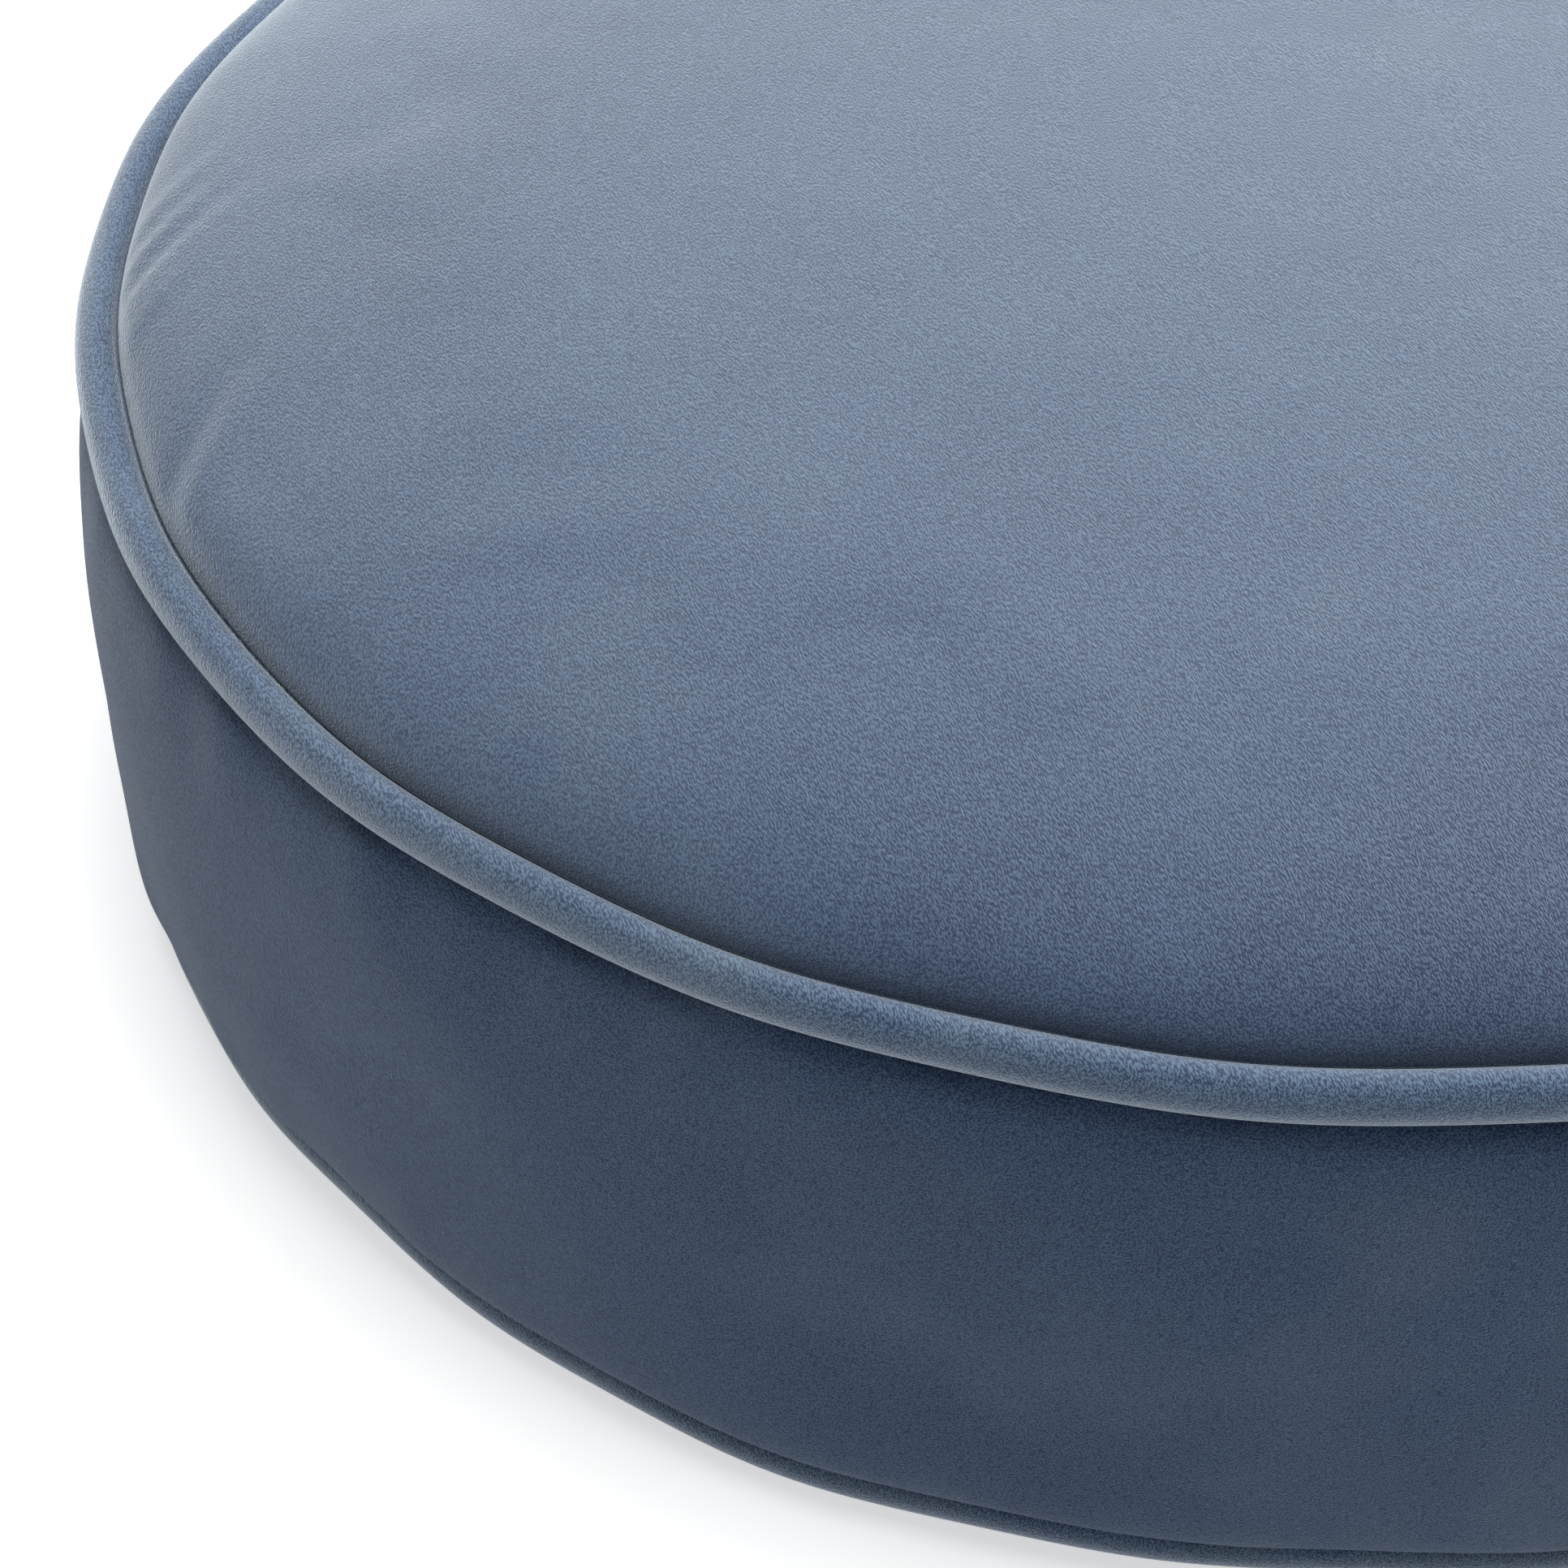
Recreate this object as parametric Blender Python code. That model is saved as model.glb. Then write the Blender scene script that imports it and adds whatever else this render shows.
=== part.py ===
"""Round box seat cushion: a velvet cover with piped seams and a zip at the back, round a wrapped foam core.

The frame is metres with +Z up. The origin is the middle of the cushion's footprint on the surface it rests on,
-Y is the front and +Y the back, where the zip is. Every cloth is a closed solid of its real thickness.
Profiles are lists of (radius, height) points. They run anticlockwise round the cushion's half section, from the
underside up the side to the seat face, so that the inside of the cushion is always on their left.
"""

import math

import bmesh
import bpy
from mathutils import Matrix, Vector

MM = 0.001

# Overall sizes
SEAM_RADIUS = 200 * MM  # circle that the middle of both pipings follows
SEAM_SPACING = 86 * MM  # height between the middles of the two pipings
REST_HEIGHT = 9 * MM  # the lower piping's middle above the surface
CROWN_HEIGHT = 22 * MM  # how far the seat face rises from its seam
SIDE_BULGE = 6.4 * MM  # how far the side swells out past the seam circle
FOOT_MARGIN = 28 * MM  # the flat part of the underside ends this far inside the seam circle

# Cloth and seams
VELVET = 1.0 * MM
TOUCH = 0.3 * MM  # gap left between pieces that touch
PIPING_RADIUS = 3.6 * MM
SEAM_ALLOWANCE = 8 * MM  # cloth turned in past the stitches
FACE_POWER = 2.2  # roundness of the seat face
SIDE_POWERS = (2.4, 3.0)  # roundness of the side

# Foam pad
FOAM_SIDE_MARGIN = 10 * MM  # inside the seam circle
FOAM_FACE_MARGIN = 5 * MM  # between the levels of the two seams
FOAM_ROUNDING = 4 * MM
PAD_CLEARANCE = 0.4 * MM  # from the cover to the pad's case, at the crown and the foot
PAD_SIDE_CLEARANCE = 1.0 * MM  # from the cover's side to the pad's case
NECK_CLEARANCE = 0.8 * MM  # from the seam allowances to the pad's case
CASE_CLOTH = 0.6 * MM
PAD_POWER = 4.0  # squareness of the pad's side
FOOT_INSET = 7 * MM  # the pad's flat foot ends this far inside the cover's
WADDING_EDGE = 0.97  # share of the foam's height that the side wadding covers

# Zip
CHAIN_LENGTH = 344 * MM  # from the middle of one end stop to the middle of the other
TAPE_END = 25 * MM  # the tape runs at least this far past the stops, into the upright seams
TAPE_SETBACK = 7.4 * MM  # middle of the tape behind the widest part of the side
TAPE_THICKNESS = 0.6 * MM
TAPE_WIDTH = 12.5 * MM
CHAIN_SLIT = 1.8 * MM  # between the two rows, where the slider's post runs
COIL_WIDTH = 2.2 * MM
COIL_DEPTH = 2.0 * MM
LIP_SIDE_GAP = 0.7 * MM  # from the slider's side to each folded edge
LIP_CLEARANCE = 0.8 * MM  # from the tape to the folded edge behind which it lies
HEM_WIDTH = 9.2 * MM
VALLEY_WIDTH = 22 * MM  # the side falls to the zip over this height
DENT_CLEARANCE = 1.3 * MM  # from the slider to the dent that the zip presses into the pad
DENT_FLAT = 6 * MM  # the dent is full to this height from the zip
DENT_FADE = 20 * MM  # and fades out this far past the tape's edge

# Slider, as depth out from the tape's middle, run along the zip and height across it
SLIDER_LENGTH = 11 * MM
SLIDER_TAPER = 0.8 * MM  # the plates' tail is narrower by this at each side
SLIDER_CORNER = 1.2 * MM
PLATE = 1.2 * MM
SLIDER_CLEARANCE = 0.4 * MM
FLANGE = 0.6 * MM
FLANGE_LENGTH = 4.0 * MM
POST_WIDTH = 1.0 * MM
POST_LENGTH = 2.4 * MM
POST_SETBACK = 1.0 * MM  # behind the slider's nose
BRIDGE_LENGTH = 7.0 * MM
BRIDGE_WIDTH = 1.8 * MM
BRIDGE_BAR = 1.0 * MM
BRIDGE_LEG = 1.8 * MM
BRIDGE_CORNER = 0.9 * MM
BRIDGE_PLAY = 0.9 * MM  # room for the tab's eye bar in the hole under the bridge
STOP_LENGTH = 2.4 * MM
STOP_WALL = 0.8 * MM
STOP_GAP = 1.2 * MM  # from the slider's nose to the end stops

# Pull tab
TAB_LENGTH = 24 * MM
TAB_THICKNESS = 1.4 * MM
EYE_WALL = 1.4 * MM  # at each side of the eye
EYE_SIDE_PLAY = 0.4 * MM  # at each side of the bridge
EYE_END_PLAY = 0.5 * MM  # past the bridge's leg
TAB_SHOULDER = 0.4 * MM  # the tab is wider than its eye by this at each side
TAB_CORNER = 1.6 * MM
TAB_EDGE = 0.25 * MM  # chamfer
TAB_LEAN = math.radians(3)  # lies this much nearer the zip than its tangent

# Care label
LABEL_HEIGHT = 18 * MM
LABEL_LENGTH = 25 * MM
LABEL_CLOTH = 0.4 * MM

# Facets
RING_STEP = math.radians(10)
ZIP_STEP = math.radians(5)

# Worked out from the sizes above
TAU = 2 * math.pi
BACK = math.pi / 2  # angle of the middle of the zip
LOWER_SEAM = REST_HEIGHT
UPPER_SEAM = REST_HEIGHT + SEAM_SPACING
MIDDLE = REST_HEIGHT + SEAM_SPACING / 2
FOOT_RADIUS = SEAM_RADIUS - FOOT_MARGIN
FOAM_RADIUS = SEAM_RADIUS - FOAM_SIDE_MARGIN
FOAM_HEIGHT = SEAM_SPACING - 2 * FOAM_FACE_MARGIN
CORD_RADIUS = PIPING_RADIUS - VELVET - TOUCH
PLY = TOUCH / 2 + VELVET  # outer face of a piping's turned-in ply above its slit
COVER_PLY = PLY + TOUCH  # where the cover's own turned-in cloth lies on it
HUG_RADIUS = PIPING_RADIUS + TOUCH
HUG_END = math.radians(58)  # the side leaves the piping this far below its middle
STITCH_RADIUS = SEAM_RADIUS - PIPING_RADIUS - TOUCH / 3
ALLOWANCE_RADIUS = SEAM_RADIUS - PIPING_RADIUS - SEAM_ALLOWANCE
NECK_RADIUS = ALLOWANCE_RADIUS - NECK_CLEARANCE
TAPE_RADIUS = SEAM_RADIUS + SIDE_BULGE - TAPE_SETBACK
CHAIN_ANGLE = CHAIN_LENGTH / TAPE_RADIUS
TAPE_FACETS = math.ceil((CHAIN_ANGLE / 2 + TAPE_END / TAPE_RADIUS) / RING_STEP)
ZIP_SECTION = 2 * TAPE_FACETS * RING_STEP  # between the two upright seams
TAPE_SWEEP = ZIP_SECTION - 2 * TOUCH / TAPE_RADIUS
LIP_RADIUS = TAPE_RADIUS + TAPE_THICKNESS / 2 + LIP_CLEARANCE
CHAIN_EDGE = CHAIN_SLIT / 2 + COIL_WIDTH
SLIDER_SIDE = CHAIN_EDGE + SLIDER_CLEARANCE + FLANGE
LIP_EDGE = SLIDER_SIDE + LIP_SIDE_GAP
TAPE_EDGE = CHAIN_SLIT / 2 + TAPE_WIDTH
PLATE_UNDER = -TAPE_THICKNESS / 2 - SLIDER_CLEARANCE
COIL_BASE = TAPE_THICKNESS / 2 + TOUCH
PLATE_OVER = COIL_BASE + COIL_DEPTH + SLIDER_CLEARANCE
DENT_DEPTH = TAPE_SETBACK - VELVET - PAD_SIDE_CLEARANCE - PLATE_UNDER + PLATE + DENT_CLEARANCE
BRIDGE_BASE = PLATE_OVER + PLATE
BRIDGE_WINDOW = TAB_THICKNESS + BRIDGE_PLAY
PIVOT_DEPTH = BRIDGE_BASE + BRIDGE_PLAY * 2 / 3 + TAB_THICKNESS / 2
EYE_OPENING = BRIDGE_WIDTH + 2 * EYE_SIDE_PLAY
EYE_LENGTH = BRIDGE_LENGTH / 2 + EYE_END_PLAY - TAB_THICKNESS / 2
SLIDER_ANGLE = BACK + CHAIN_ANGLE / 2 - (SLIDER_LENGTH / 2 + STOP_GAP + STOP_LENGTH / 2) / TAPE_RADIUS


# Outlines


def arc(centre, radius, start, end, steps):
    """Points on a circle of the half section, from one angle to another."""
    angles = [start + (end - start) * i / steps for i in range(steps + 1)]
    return [(centre[0] + radius * math.cos(a), centre[1] + radius * math.sin(a)) for a in angles]


def inward(path, distance):
    """The path moved to its left, with mitred corners."""
    moved = []
    for i, point in enumerate(path):
        before = Vector(path[max(i - 1, 0)])
        after = Vector(path[min(i + 1, len(path) - 1)])
        here = Vector(point)
        arrive = (here - before).normalized() if i else (after - here).normalized()
        leave = (after - here).normalized() if i < len(path) - 1 else arrive
        normal = Vector((-arrive.y, arrive.x)) + Vector((-leave.y, leave.x))
        normal *= distance * 2 / normal.length_squared
        moved.append((max(here.x + normal.x, 0.0), here.y + normal.y))
    return moved


def cloth(path, thickness):
    """Closed outline of a cloth whose outer face follows the path."""
    return path + inward(path, thickness)[::-1]


def mirrored(outline):
    """The outline turned upside down about the middle of the side."""
    return [(radius, 2 * MIDDLE - height) for radius, height in reversed(outline)]


def side_radius(height):
    """Outer radius of the plain side at a height above the underside."""
    reach = SEAM_SPACING / 2 - HUG_RADIUS * math.sin(HUG_END)
    share = min(abs(height - MIDDLE) / reach, 1.0)
    start = SEAM_RADIUS - HUG_RADIUS * math.cos(HUG_END)
    rise = SEAM_RADIUS + SIDE_BULGE - start
    return start + rise * (1 - share ** SIDE_POWERS[0]) ** (1 / SIDE_POWERS[1])


def side_heights(start, end, steps):
    """Heights that crowd together towards the end, where the side curves most."""
    shares = [math.sin(math.pi / 2 * i / steps) for i in range(steps + 1)]
    return [start + (end - start) * share for share in shares]


def upper_hug():
    """The side's outer face from under the upper piping to the end of its turned-in ply."""
    seam = (SEAM_RADIUS, UPPER_SEAM)
    ply_angle = math.asin(COVER_PLY / HUG_RADIUS)
    hug = arc(seam, HUG_RADIUS, math.pi + HUG_END, math.pi + ply_angle, 3)
    return hug + [(ALLOWANCE_RADIUS, UPPER_SEAM - COVER_PLY)]


def side_path():
    """Outer face of the side, from the lower turned-in ply to the upper one."""
    top = UPPER_SEAM - HUG_RADIUS * math.sin(HUG_END)
    upper = [(side_radius(z), z) for z in side_heights(MIDDLE, top, 5)[:-1]] + upper_hug()
    return mirrored(upper[1:]) + upper


def valley(height):
    """Share of the zip's setback that the side has at this height: 1 at the lip, 0 on the crest."""
    share = (abs(height - MIDDLE) - LIP_EDGE) / VALLEY_WIDTH
    share = min(max(share, 0.0), 1.0)
    return (1 - share) ** 2 * (1 + 2 * share)


def lip_outline():
    """Outline of the strip above the zip, with its folded edge, from the hem to the upper ply."""
    fold_radius = VELVET + TOUCH / 2
    fold = (LIP_RADIUS + fold_radius, MIDDLE + LIP_EDGE + fold_radius)
    setback = side_radius(MIDDLE) - (LIP_RADIUS + 2 * fold_radius)
    top = UPPER_SEAM - HUG_RADIUS * math.sin(HUG_END)
    path = [(LIP_RADIUS, fold[1] + HEM_WIDTH - fold_radius)]
    path += arc(fold, fold_radius, -math.pi, 0, 6)
    for z in side_heights(fold[1], top, 7)[1:-1]:
        path.append((side_radius(z) - setback * valley(z), z))
    return cloth(path + upper_hug(), VELVET)


def crown_curve(radius, base, crown, steps=5):
    """From the edge of a dome up to its centre."""
    path = []
    for i in range(steps):
        share = math.cos(math.pi / 2 * i / steps)
        path.append((radius * share, base + (crown - base) * math.sqrt(1 - share**FACE_POWER)))
    return path + [(0.0, crown)]


def seat_path():
    """Outer face of the seat panel, from its turned-in ply over the stitches to the centre."""
    seam_level = UPPER_SEAM + COVER_PLY
    crown = crown_curve(STITCH_RADIUS, seam_level, seam_level + CROWN_HEIGHT, 9)
    return [(ALLOWANCE_RADIUS, seam_level)] + crown


def foot_curve(flat_radius, flat_level, end_radius, end_level, steps=4):
    """From the centre along a flat foot, then a quarter ellipse up to the end."""
    path = [(0.0, flat_level)]
    for i in range(steps + 1):
        turn = math.pi / 2 * i / steps
        radius = flat_radius + (end_radius - flat_radius) * math.sin(turn)
        path.append((radius, flat_level + (end_level - flat_level) * (1 - math.cos(turn))))
    return path


def foot_path():
    """Outer face of the underside panel, from the centre to its turned-in ply."""
    ply_level = LOWER_SEAM - COVER_PLY
    path = foot_curve(FOOT_RADIUS, 0.0, STITCH_RADIUS, ply_level)
    return path + [(ALLOWANCE_RADIUS, ply_level)]


def piping_outline(level):
    """One cloth wrapped round the cord, with both of its edges turned in side by side."""
    seam = (SEAM_RADIUS, level)
    bore = CORD_RADIUS + TOUCH
    outer_turn = math.pi - math.asin(PLY / PIPING_RADIUS)
    inner_turn = math.pi - math.asin(TOUCH / 2 / bore)
    outside = arc(seam, PIPING_RADIUS, -outer_turn, outer_turn, 8)
    inside = arc(seam, bore, inner_turn, -inner_turn, 8)
    upper_end = [(ALLOWANCE_RADIUS, level + PLY), (ALLOWANCE_RADIUS, level + TOUCH / 2)]
    lower_end = [(ALLOWANCE_RADIUS, level - TOUCH / 2), (ALLOWANCE_RADIUS, level - PLY)]
    return outside + upper_end + inside + lower_end


def pad_side_path():
    """Outer face of the upper half of the pad's case, from the middle to the neck."""
    reach = SEAM_SPACING / 2 - COVER_PLY - VELVET - NECK_CLEARANCE
    rise = SEAM_RADIUS + SIDE_BULGE - VELVET - PAD_SIDE_CLEARANCE - NECK_RADIUS
    path = [(NECK_RADIUS + rise, MIDDLE + TOUCH / 2)]
    for share in (0.15, 0.4, 0.65, 0.83, 0.94, 1.0):
        path.append((NECK_RADIUS + rise * math.sqrt(1 - share**PAD_POWER), MIDDLE + reach * share))
    return path


def case_top_path():
    """Outer face of the upper half of the pad's case, from the middle to the crown's centre."""
    crown_base = UPPER_SEAM + NECK_CLEARANCE
    crown = UPPER_SEAM + COVER_PLY + CROWN_HEIGHT - VELVET - PAD_CLEARANCE
    return pad_side_path() + crown_curve(NECK_RADIUS, crown_base, crown)


def case_foot_path():
    """Outer face of the lower half of the pad's case, from the foot's centre to the middle."""
    foot_level = VELVET + PAD_CLEARANCE
    foot = foot_curve(FOOT_RADIUS - FOOT_INSET, foot_level, NECK_RADIUS, LOWER_SEAM - NECK_CLEARANCE)
    return foot + mirrored(pad_side_path())


# Solids


def material(name, colour, roughness, metallic=0.0, sheen=0.0):
    made = bpy.data.materials.new(name)
    made.use_nodes = True
    shader = made.node_tree.nodes["Principled BSDF"]
    shader.inputs["Base Color"].default_value = (*colour, 1.0)
    shader.inputs["Roughness"].default_value = roughness
    shader.inputs["Metallic"].default_value = metallic
    shader.inputs["Sheen Weight"].default_value = sheen
    made.diffuse_color = (*colour, 1.0)
    return made


def finish(name, mesh_in_progress, surface, parent=None):
    """Turns a bmesh into a named object with outward faces and soft shading."""
    bmesh.ops.recalc_face_normals(mesh_in_progress, faces=mesh_in_progress.faces)
    mesh = bpy.data.meshes.new(name)
    mesh_in_progress.to_mesh(mesh)
    mesh_in_progress.free()
    mesh.materials.append(surface)
    mesh.shade_smooth()
    mesh.set_sharp_from_angle(angle=math.radians(35))
    made = bpy.data.objects.new(name, mesh)
    bpy.context.scene.collection.objects.link(made)
    made.parent = parent
    return made


def turned(outline, start=0.0, sweep=TAU, step=RING_STEP):
    """The outline spun round the cushion's axis, as a whole ring or as a stretch of one."""
    whole = math.isclose(sweep, TAU)
    spun = bmesh.new()
    points = [spun.verts.new((r * math.cos(start), r * math.sin(start), z)) for r, z in outline]
    for here, after in zip(points, points[1:] + points[:1]):
        if here.co.xy.length > 0 or after.co.xy.length > 0:
            spun.edges.new((here, after))
    geometry = spun.verts[:] + spun.edges[:]
    if not whole:
        geometry.append(spun.faces.new(points))
    bmesh.ops.spin(
        spun,
        geom=geometry,
        cent=(0, 0, 0),
        axis=(0, 0, 1),
        angle=sweep,
        steps=round(sweep / step),
        use_merge=whole,
    )
    bmesh.ops.remove_doubles(spun, verts=spun.verts, dist=1e-6)
    return spun


def trim_ends(spun, start, sweep, gap):
    """Cuts the gap off both ends of a stretch shorter than half a ring."""
    for angle, way in ((start, 1), (start + sweep, -1)):
        along = Vector((-math.sin(angle), math.cos(angle), 0)) * way
        everything = spun.verts[:] + spun.edges[:] + spun.faces[:]
        bmesh.ops.bisect_plane(
            spun, geom=everything, dist=1e-7, plane_co=along * gap, plane_no=along, clear_inner=True
        )
        edges = [edge for edge in spun.edges if edge.is_boundary]
        bmesh.ops.holes_fill(spun, edges=edges, sides=0)


def push_out(spun, amount):
    """Moves every vertex away from the axis by what amount(angle, radius, height) says.

    Faces that this twists are split across their shorter way, so that nested cloths keep their gap.
    """
    for vertex in spun.verts:
        radius = vertex.co.xy.length
        if radius > 0:
            angle = math.atan2(vertex.co.y, vertex.co.x)
            factor = 1 + amount(angle, radius, vertex.co.z) / radius
            vertex.co.x *= factor
            vertex.co.y *= factor
    bmesh.ops.triangulate(spun, faces=spun.faces, quad_method="SHORT_EDGE")


def zip_dent(angle, radius, height):
    """The zip and its slider press the pad in along the back of the side."""
    if radius < FOAM_RADIUS + 2 * TOUCH or abs(angle - BACK) > ZIP_SECTION / 2 + RING_STEP / 2:
        return 0.0
    share = (abs(height - MIDDLE) - DENT_FLAT) / (TAPE_EDGE + DENT_FADE - DENT_FLAT)
    share = min(max(share, 0.0), 1.0)
    return -DENT_DEPTH * (1 - share * share * (3 - 2 * share))


def end_fade(angle, radius, height):
    """At its upright seams the zip strip rises to the plain side."""
    if abs(angle - BACK) < ZIP_SECTION / 2 - RING_STEP / 2:
        return 0.0
    setback = side_radius(MIDDLE) - (LIP_RADIUS + 2 * VELVET + TOUCH)
    return setback * valley(height)


def extruded(outline, axis, low, high):
    """A flat outline given depth. The outline's points have a 0 on the axis that the depth follows."""
    flat = bmesh.new()
    face = flat.faces.new([flat.verts.new(point) for point in outline])
    spread = bmesh.ops.extrude_face_region(flat, geom=[face])
    raised = [item for item in spread["geom"] if isinstance(item, bmesh.types.BMVert)]
    bmesh.ops.translate(flat, vec=Vector(axis) * (high - low), verts=raised)
    bmesh.ops.translate(flat, vec=Vector(axis) * low, verts=flat.verts)
    return flat


def block(low, high):
    """A box between two corners."""
    low, high = Vector(low), Vector(high)
    made = bmesh.new()
    place = Matrix.Translation((low + high) / 2) @ Matrix.Diagonal((*(high - low), 1.0))
    bmesh.ops.create_cube(made, size=1.0, matrix=place)
    return made


def join(base, *helpers):
    """Boolean unions of the helpers into the base. The helpers aren't shown."""
    for helper in helpers:
        helper.hide_render = True
        helper.display_type = "WIRE"
        union = base.modifiers.new(helper.name, "BOOLEAN")
        union.operation = "UNION"
        union.object = helper


# Cover


def make_cover(velvet):
    finish("top_panel", turned(cloth(seat_path(), VELVET)), velvet)
    finish("bottom_panel", turned(cloth(foot_path(), VELVET)), velvet)

    front_start = BACK + ZIP_SECTION / 2
    front = turned(cloth(side_path(), VELVET), front_start, TAU - ZIP_SECTION)
    finish("side_front", front, velvet)

    back_start = BACK - ZIP_SECTION / 2
    upper_strip = lip_outline()
    for name, outline in (("side_back_upper", upper_strip), ("side_back_lower", mirrored(upper_strip))):
        strip = turned(outline, back_start, ZIP_SECTION)
        push_out(strip, end_fade)
        trim_ends(strip, back_start, ZIP_SECTION, TOUCH)
        finish(name, strip, velvet)


def make_piping(velvet, cotton):
    for place, level in (("top", UPPER_SEAM), ("bottom", LOWER_SEAM)):
        finish(f"{place}_piping_cover", turned(piping_outline(level)), velvet)
        cord = arc((SEAM_RADIUS, level), CORD_RADIUS, 0, TAU, 8)[:-1]
        finish(f"{place}_piping_cord", turned(cord), cotton)


def make_label(satin):
    """A blank label caught in the upright seam at one end of the zip."""
    half = LABEL_HEIGHT / 2
    heights = [MIDDLE - half, MIDDLE - half / 3, MIDDLE + half / 3, MIDDLE + half]
    path = [(side_radius(z) + TOUCH + LABEL_CLOTH, z) for z in heights]
    sweep = LABEL_LENGTH / (SEAM_RADIUS + SIDE_BULGE)
    label = turned(cloth(path, LABEL_CLOTH), BACK + ZIP_SECTION / 2, sweep, sweep)
    finish("care_label", label, satin)


# Pad


def make_pad(foam, wadding, case_cloth):
    half = FOAM_HEIGHT / 2
    corner = (FOAM_RADIUS - FOAM_ROUNDING, MIDDLE + half - FOAM_ROUNDING)
    upper = arc(corner, FOAM_ROUNDING, 0, math.pi / 2, 3) + [(0.0, MIDDLE + half)]
    finish("foam_core", turned(mirrored(upper) + upper), foam)

    edge = MIDDLE + half * WADDING_EDGE
    side = [point for point in inward(pad_side_path(), CASE_CLOTH + TOUCH) if point[1] < edge]
    upper = side + [(FOAM_RADIUS + TOUCH, side[-1][1])]
    ring = turned(mirrored(upper) + upper)
    push_out(ring, zip_dent)
    finish("side_wadding", ring, wadding)

    inside_case = CASE_CLOTH + TOUCH
    edge_radius = NECK_RADIUS - inside_case
    crown = UPPER_SEAM + COVER_PLY + CROWN_HEIGHT - VELVET - PAD_CLEARANCE - inside_case
    base = MIDDLE + half + TOUCH
    dome = crown_curve(edge_radius, UPPER_SEAM, crown)
    finish("top_wadding", turned([(0.0, base), (edge_radius, base)] + dome), wadding)

    foot_level = VELVET + PAD_CLEARANCE + inside_case
    foot = foot_curve(FOOT_RADIUS - 2 * FOOT_INSET, foot_level, edge_radius, LOWER_SEAM)
    ceiling = MIDDLE - half - TOUCH
    finish("bottom_wadding", turned(foot + [(edge_radius, ceiling), (0.0, ceiling)]), wadding)

    for name, path in (("inner_case_top", case_top_path()), ("inner_case_bottom", case_foot_path())):
        shell = turned(cloth(path, CASE_CLOTH))
        push_out(shell, zip_dent)
        finish(name, shell, case_cloth)


# Zip


def zip_row(low_depth, high_depth, low_height, high_height, corner=0.0):
    """Outline of one of the upper row's bars: a rectangle, or an octagon where it has corners cut."""
    left, right = TAPE_RADIUS + low_depth, TAPE_RADIUS + high_depth
    bottom, top = MIDDLE + low_height, MIDDLE + high_height
    if not corner:
        return [(left, bottom), (right, bottom), (right, top), (left, top)]
    return [
        (left + corner, bottom),
        (right - corner, bottom),
        (right, bottom + corner),
        (right, top - corner),
        (right - corner, top),
        (left + corner, top),
        (left, top - corner),
        (left, bottom + corner),
    ]


def make_zip_rows(tape_cloth, nylon):
    edge = CHAIN_SLIT / 2
    tape = zip_row(-TAPE_THICKNESS / 2, TAPE_THICKNESS / 2, edge, TAPE_EDGE)
    coil = zip_row(COIL_BASE, COIL_BASE + COIL_DEPTH, edge, CHAIN_EDGE, COIL_DEPTH / 4)
    tape_start = BACK - TAPE_SWEEP / 2
    coil_sweep = CHAIN_ANGLE - 2 * (STOP_LENGTH / 2 + TOUCH) / TAPE_RADIUS
    coil_start = BACK - coil_sweep / 2
    for place, way in (("upper", list), ("lower", mirrored)):
        finish(f"zip_tape_{place}", turned(way(tape), tape_start, TAPE_SWEEP, ZIP_STEP), tape_cloth)
        finish(f"zip_coil_{place}", turned(way(coil), coil_start, coil_sweep, ZIP_STEP), nylon)


def at_angle(name, angle):
    """An empty on the cushion's axis whose +X points out at this angle."""
    hub = bpy.data.objects.new(name, None)
    hub.rotation_euler.z = angle
    bpy.context.scene.collection.objects.link(hub)
    return hub


def make_end_stops(metal):
    """Crimped clips: one on each tape at the closed end, and one over both at the other."""
    slot = TAPE_THICKNESS / 2 + TOUCH
    web = CHAIN_SLIT / 2 - TOUCH
    wall = slot + STOP_WALL
    reach = CHAIN_EDGE

    closed_end = at_angle("closed_end", BACK + CHAIN_ANGLE / 2)
    for place, way in (("upper", 1), ("lower", -1)):
        section = [(-wall, TOUCH / 2), (wall, TOUCH / 2), (wall, reach), (slot, reach)]
        section += [(slot, web), (-slot, web), (-slot, reach), (-wall, reach)]
        outline = [(TAPE_RADIUS + depth, 0, MIDDLE + way * height) for depth, height in section]
        clip = extruded(outline, (0, 1, 0), -STOP_LENGTH / 2, STOP_LENGTH / 2)
        finish(f"zip_top_stop_{place}", clip, metal, closed_end)

    open_end = at_angle("open_end", BACK - CHAIN_ANGLE / 2)
    quarter = [(wall, reach), (slot, reach), (slot, web), (-slot, web), (-slot, reach), (-wall, reach)]
    section = quarter + [(depth, -height) for depth, height in reversed(quarter)]
    outline = [(TAPE_RADIUS + depth, 0, MIDDLE + height) for depth, height in section]
    clip = extruded(outline, (0, 1, 0), -STOP_LENGTH / 2, STOP_LENGTH / 2)
    finish("zip_bottom_stop", clip, metal, open_end)


def plate_outline(depth):
    """Plan of a slider plate: wide where the rows come in, narrow where they leave together."""
    half, tail, end = SLIDER_SIDE, SLIDER_SIDE - SLIDER_TAPER, SLIDER_LENGTH / 2
    corner = SLIDER_CORNER
    side = [(end, half - corner), (end - corner, half), (0, half), (-end / 2, tail)]
    side += [(-end + corner / 2, tail), (-end, tail - corner / 2)]
    plan = side + [(run, -across) for run, across in reversed(side)]
    return [(TAPE_RADIUS + depth, run, MIDDLE + across) for run, across in plan]


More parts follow.
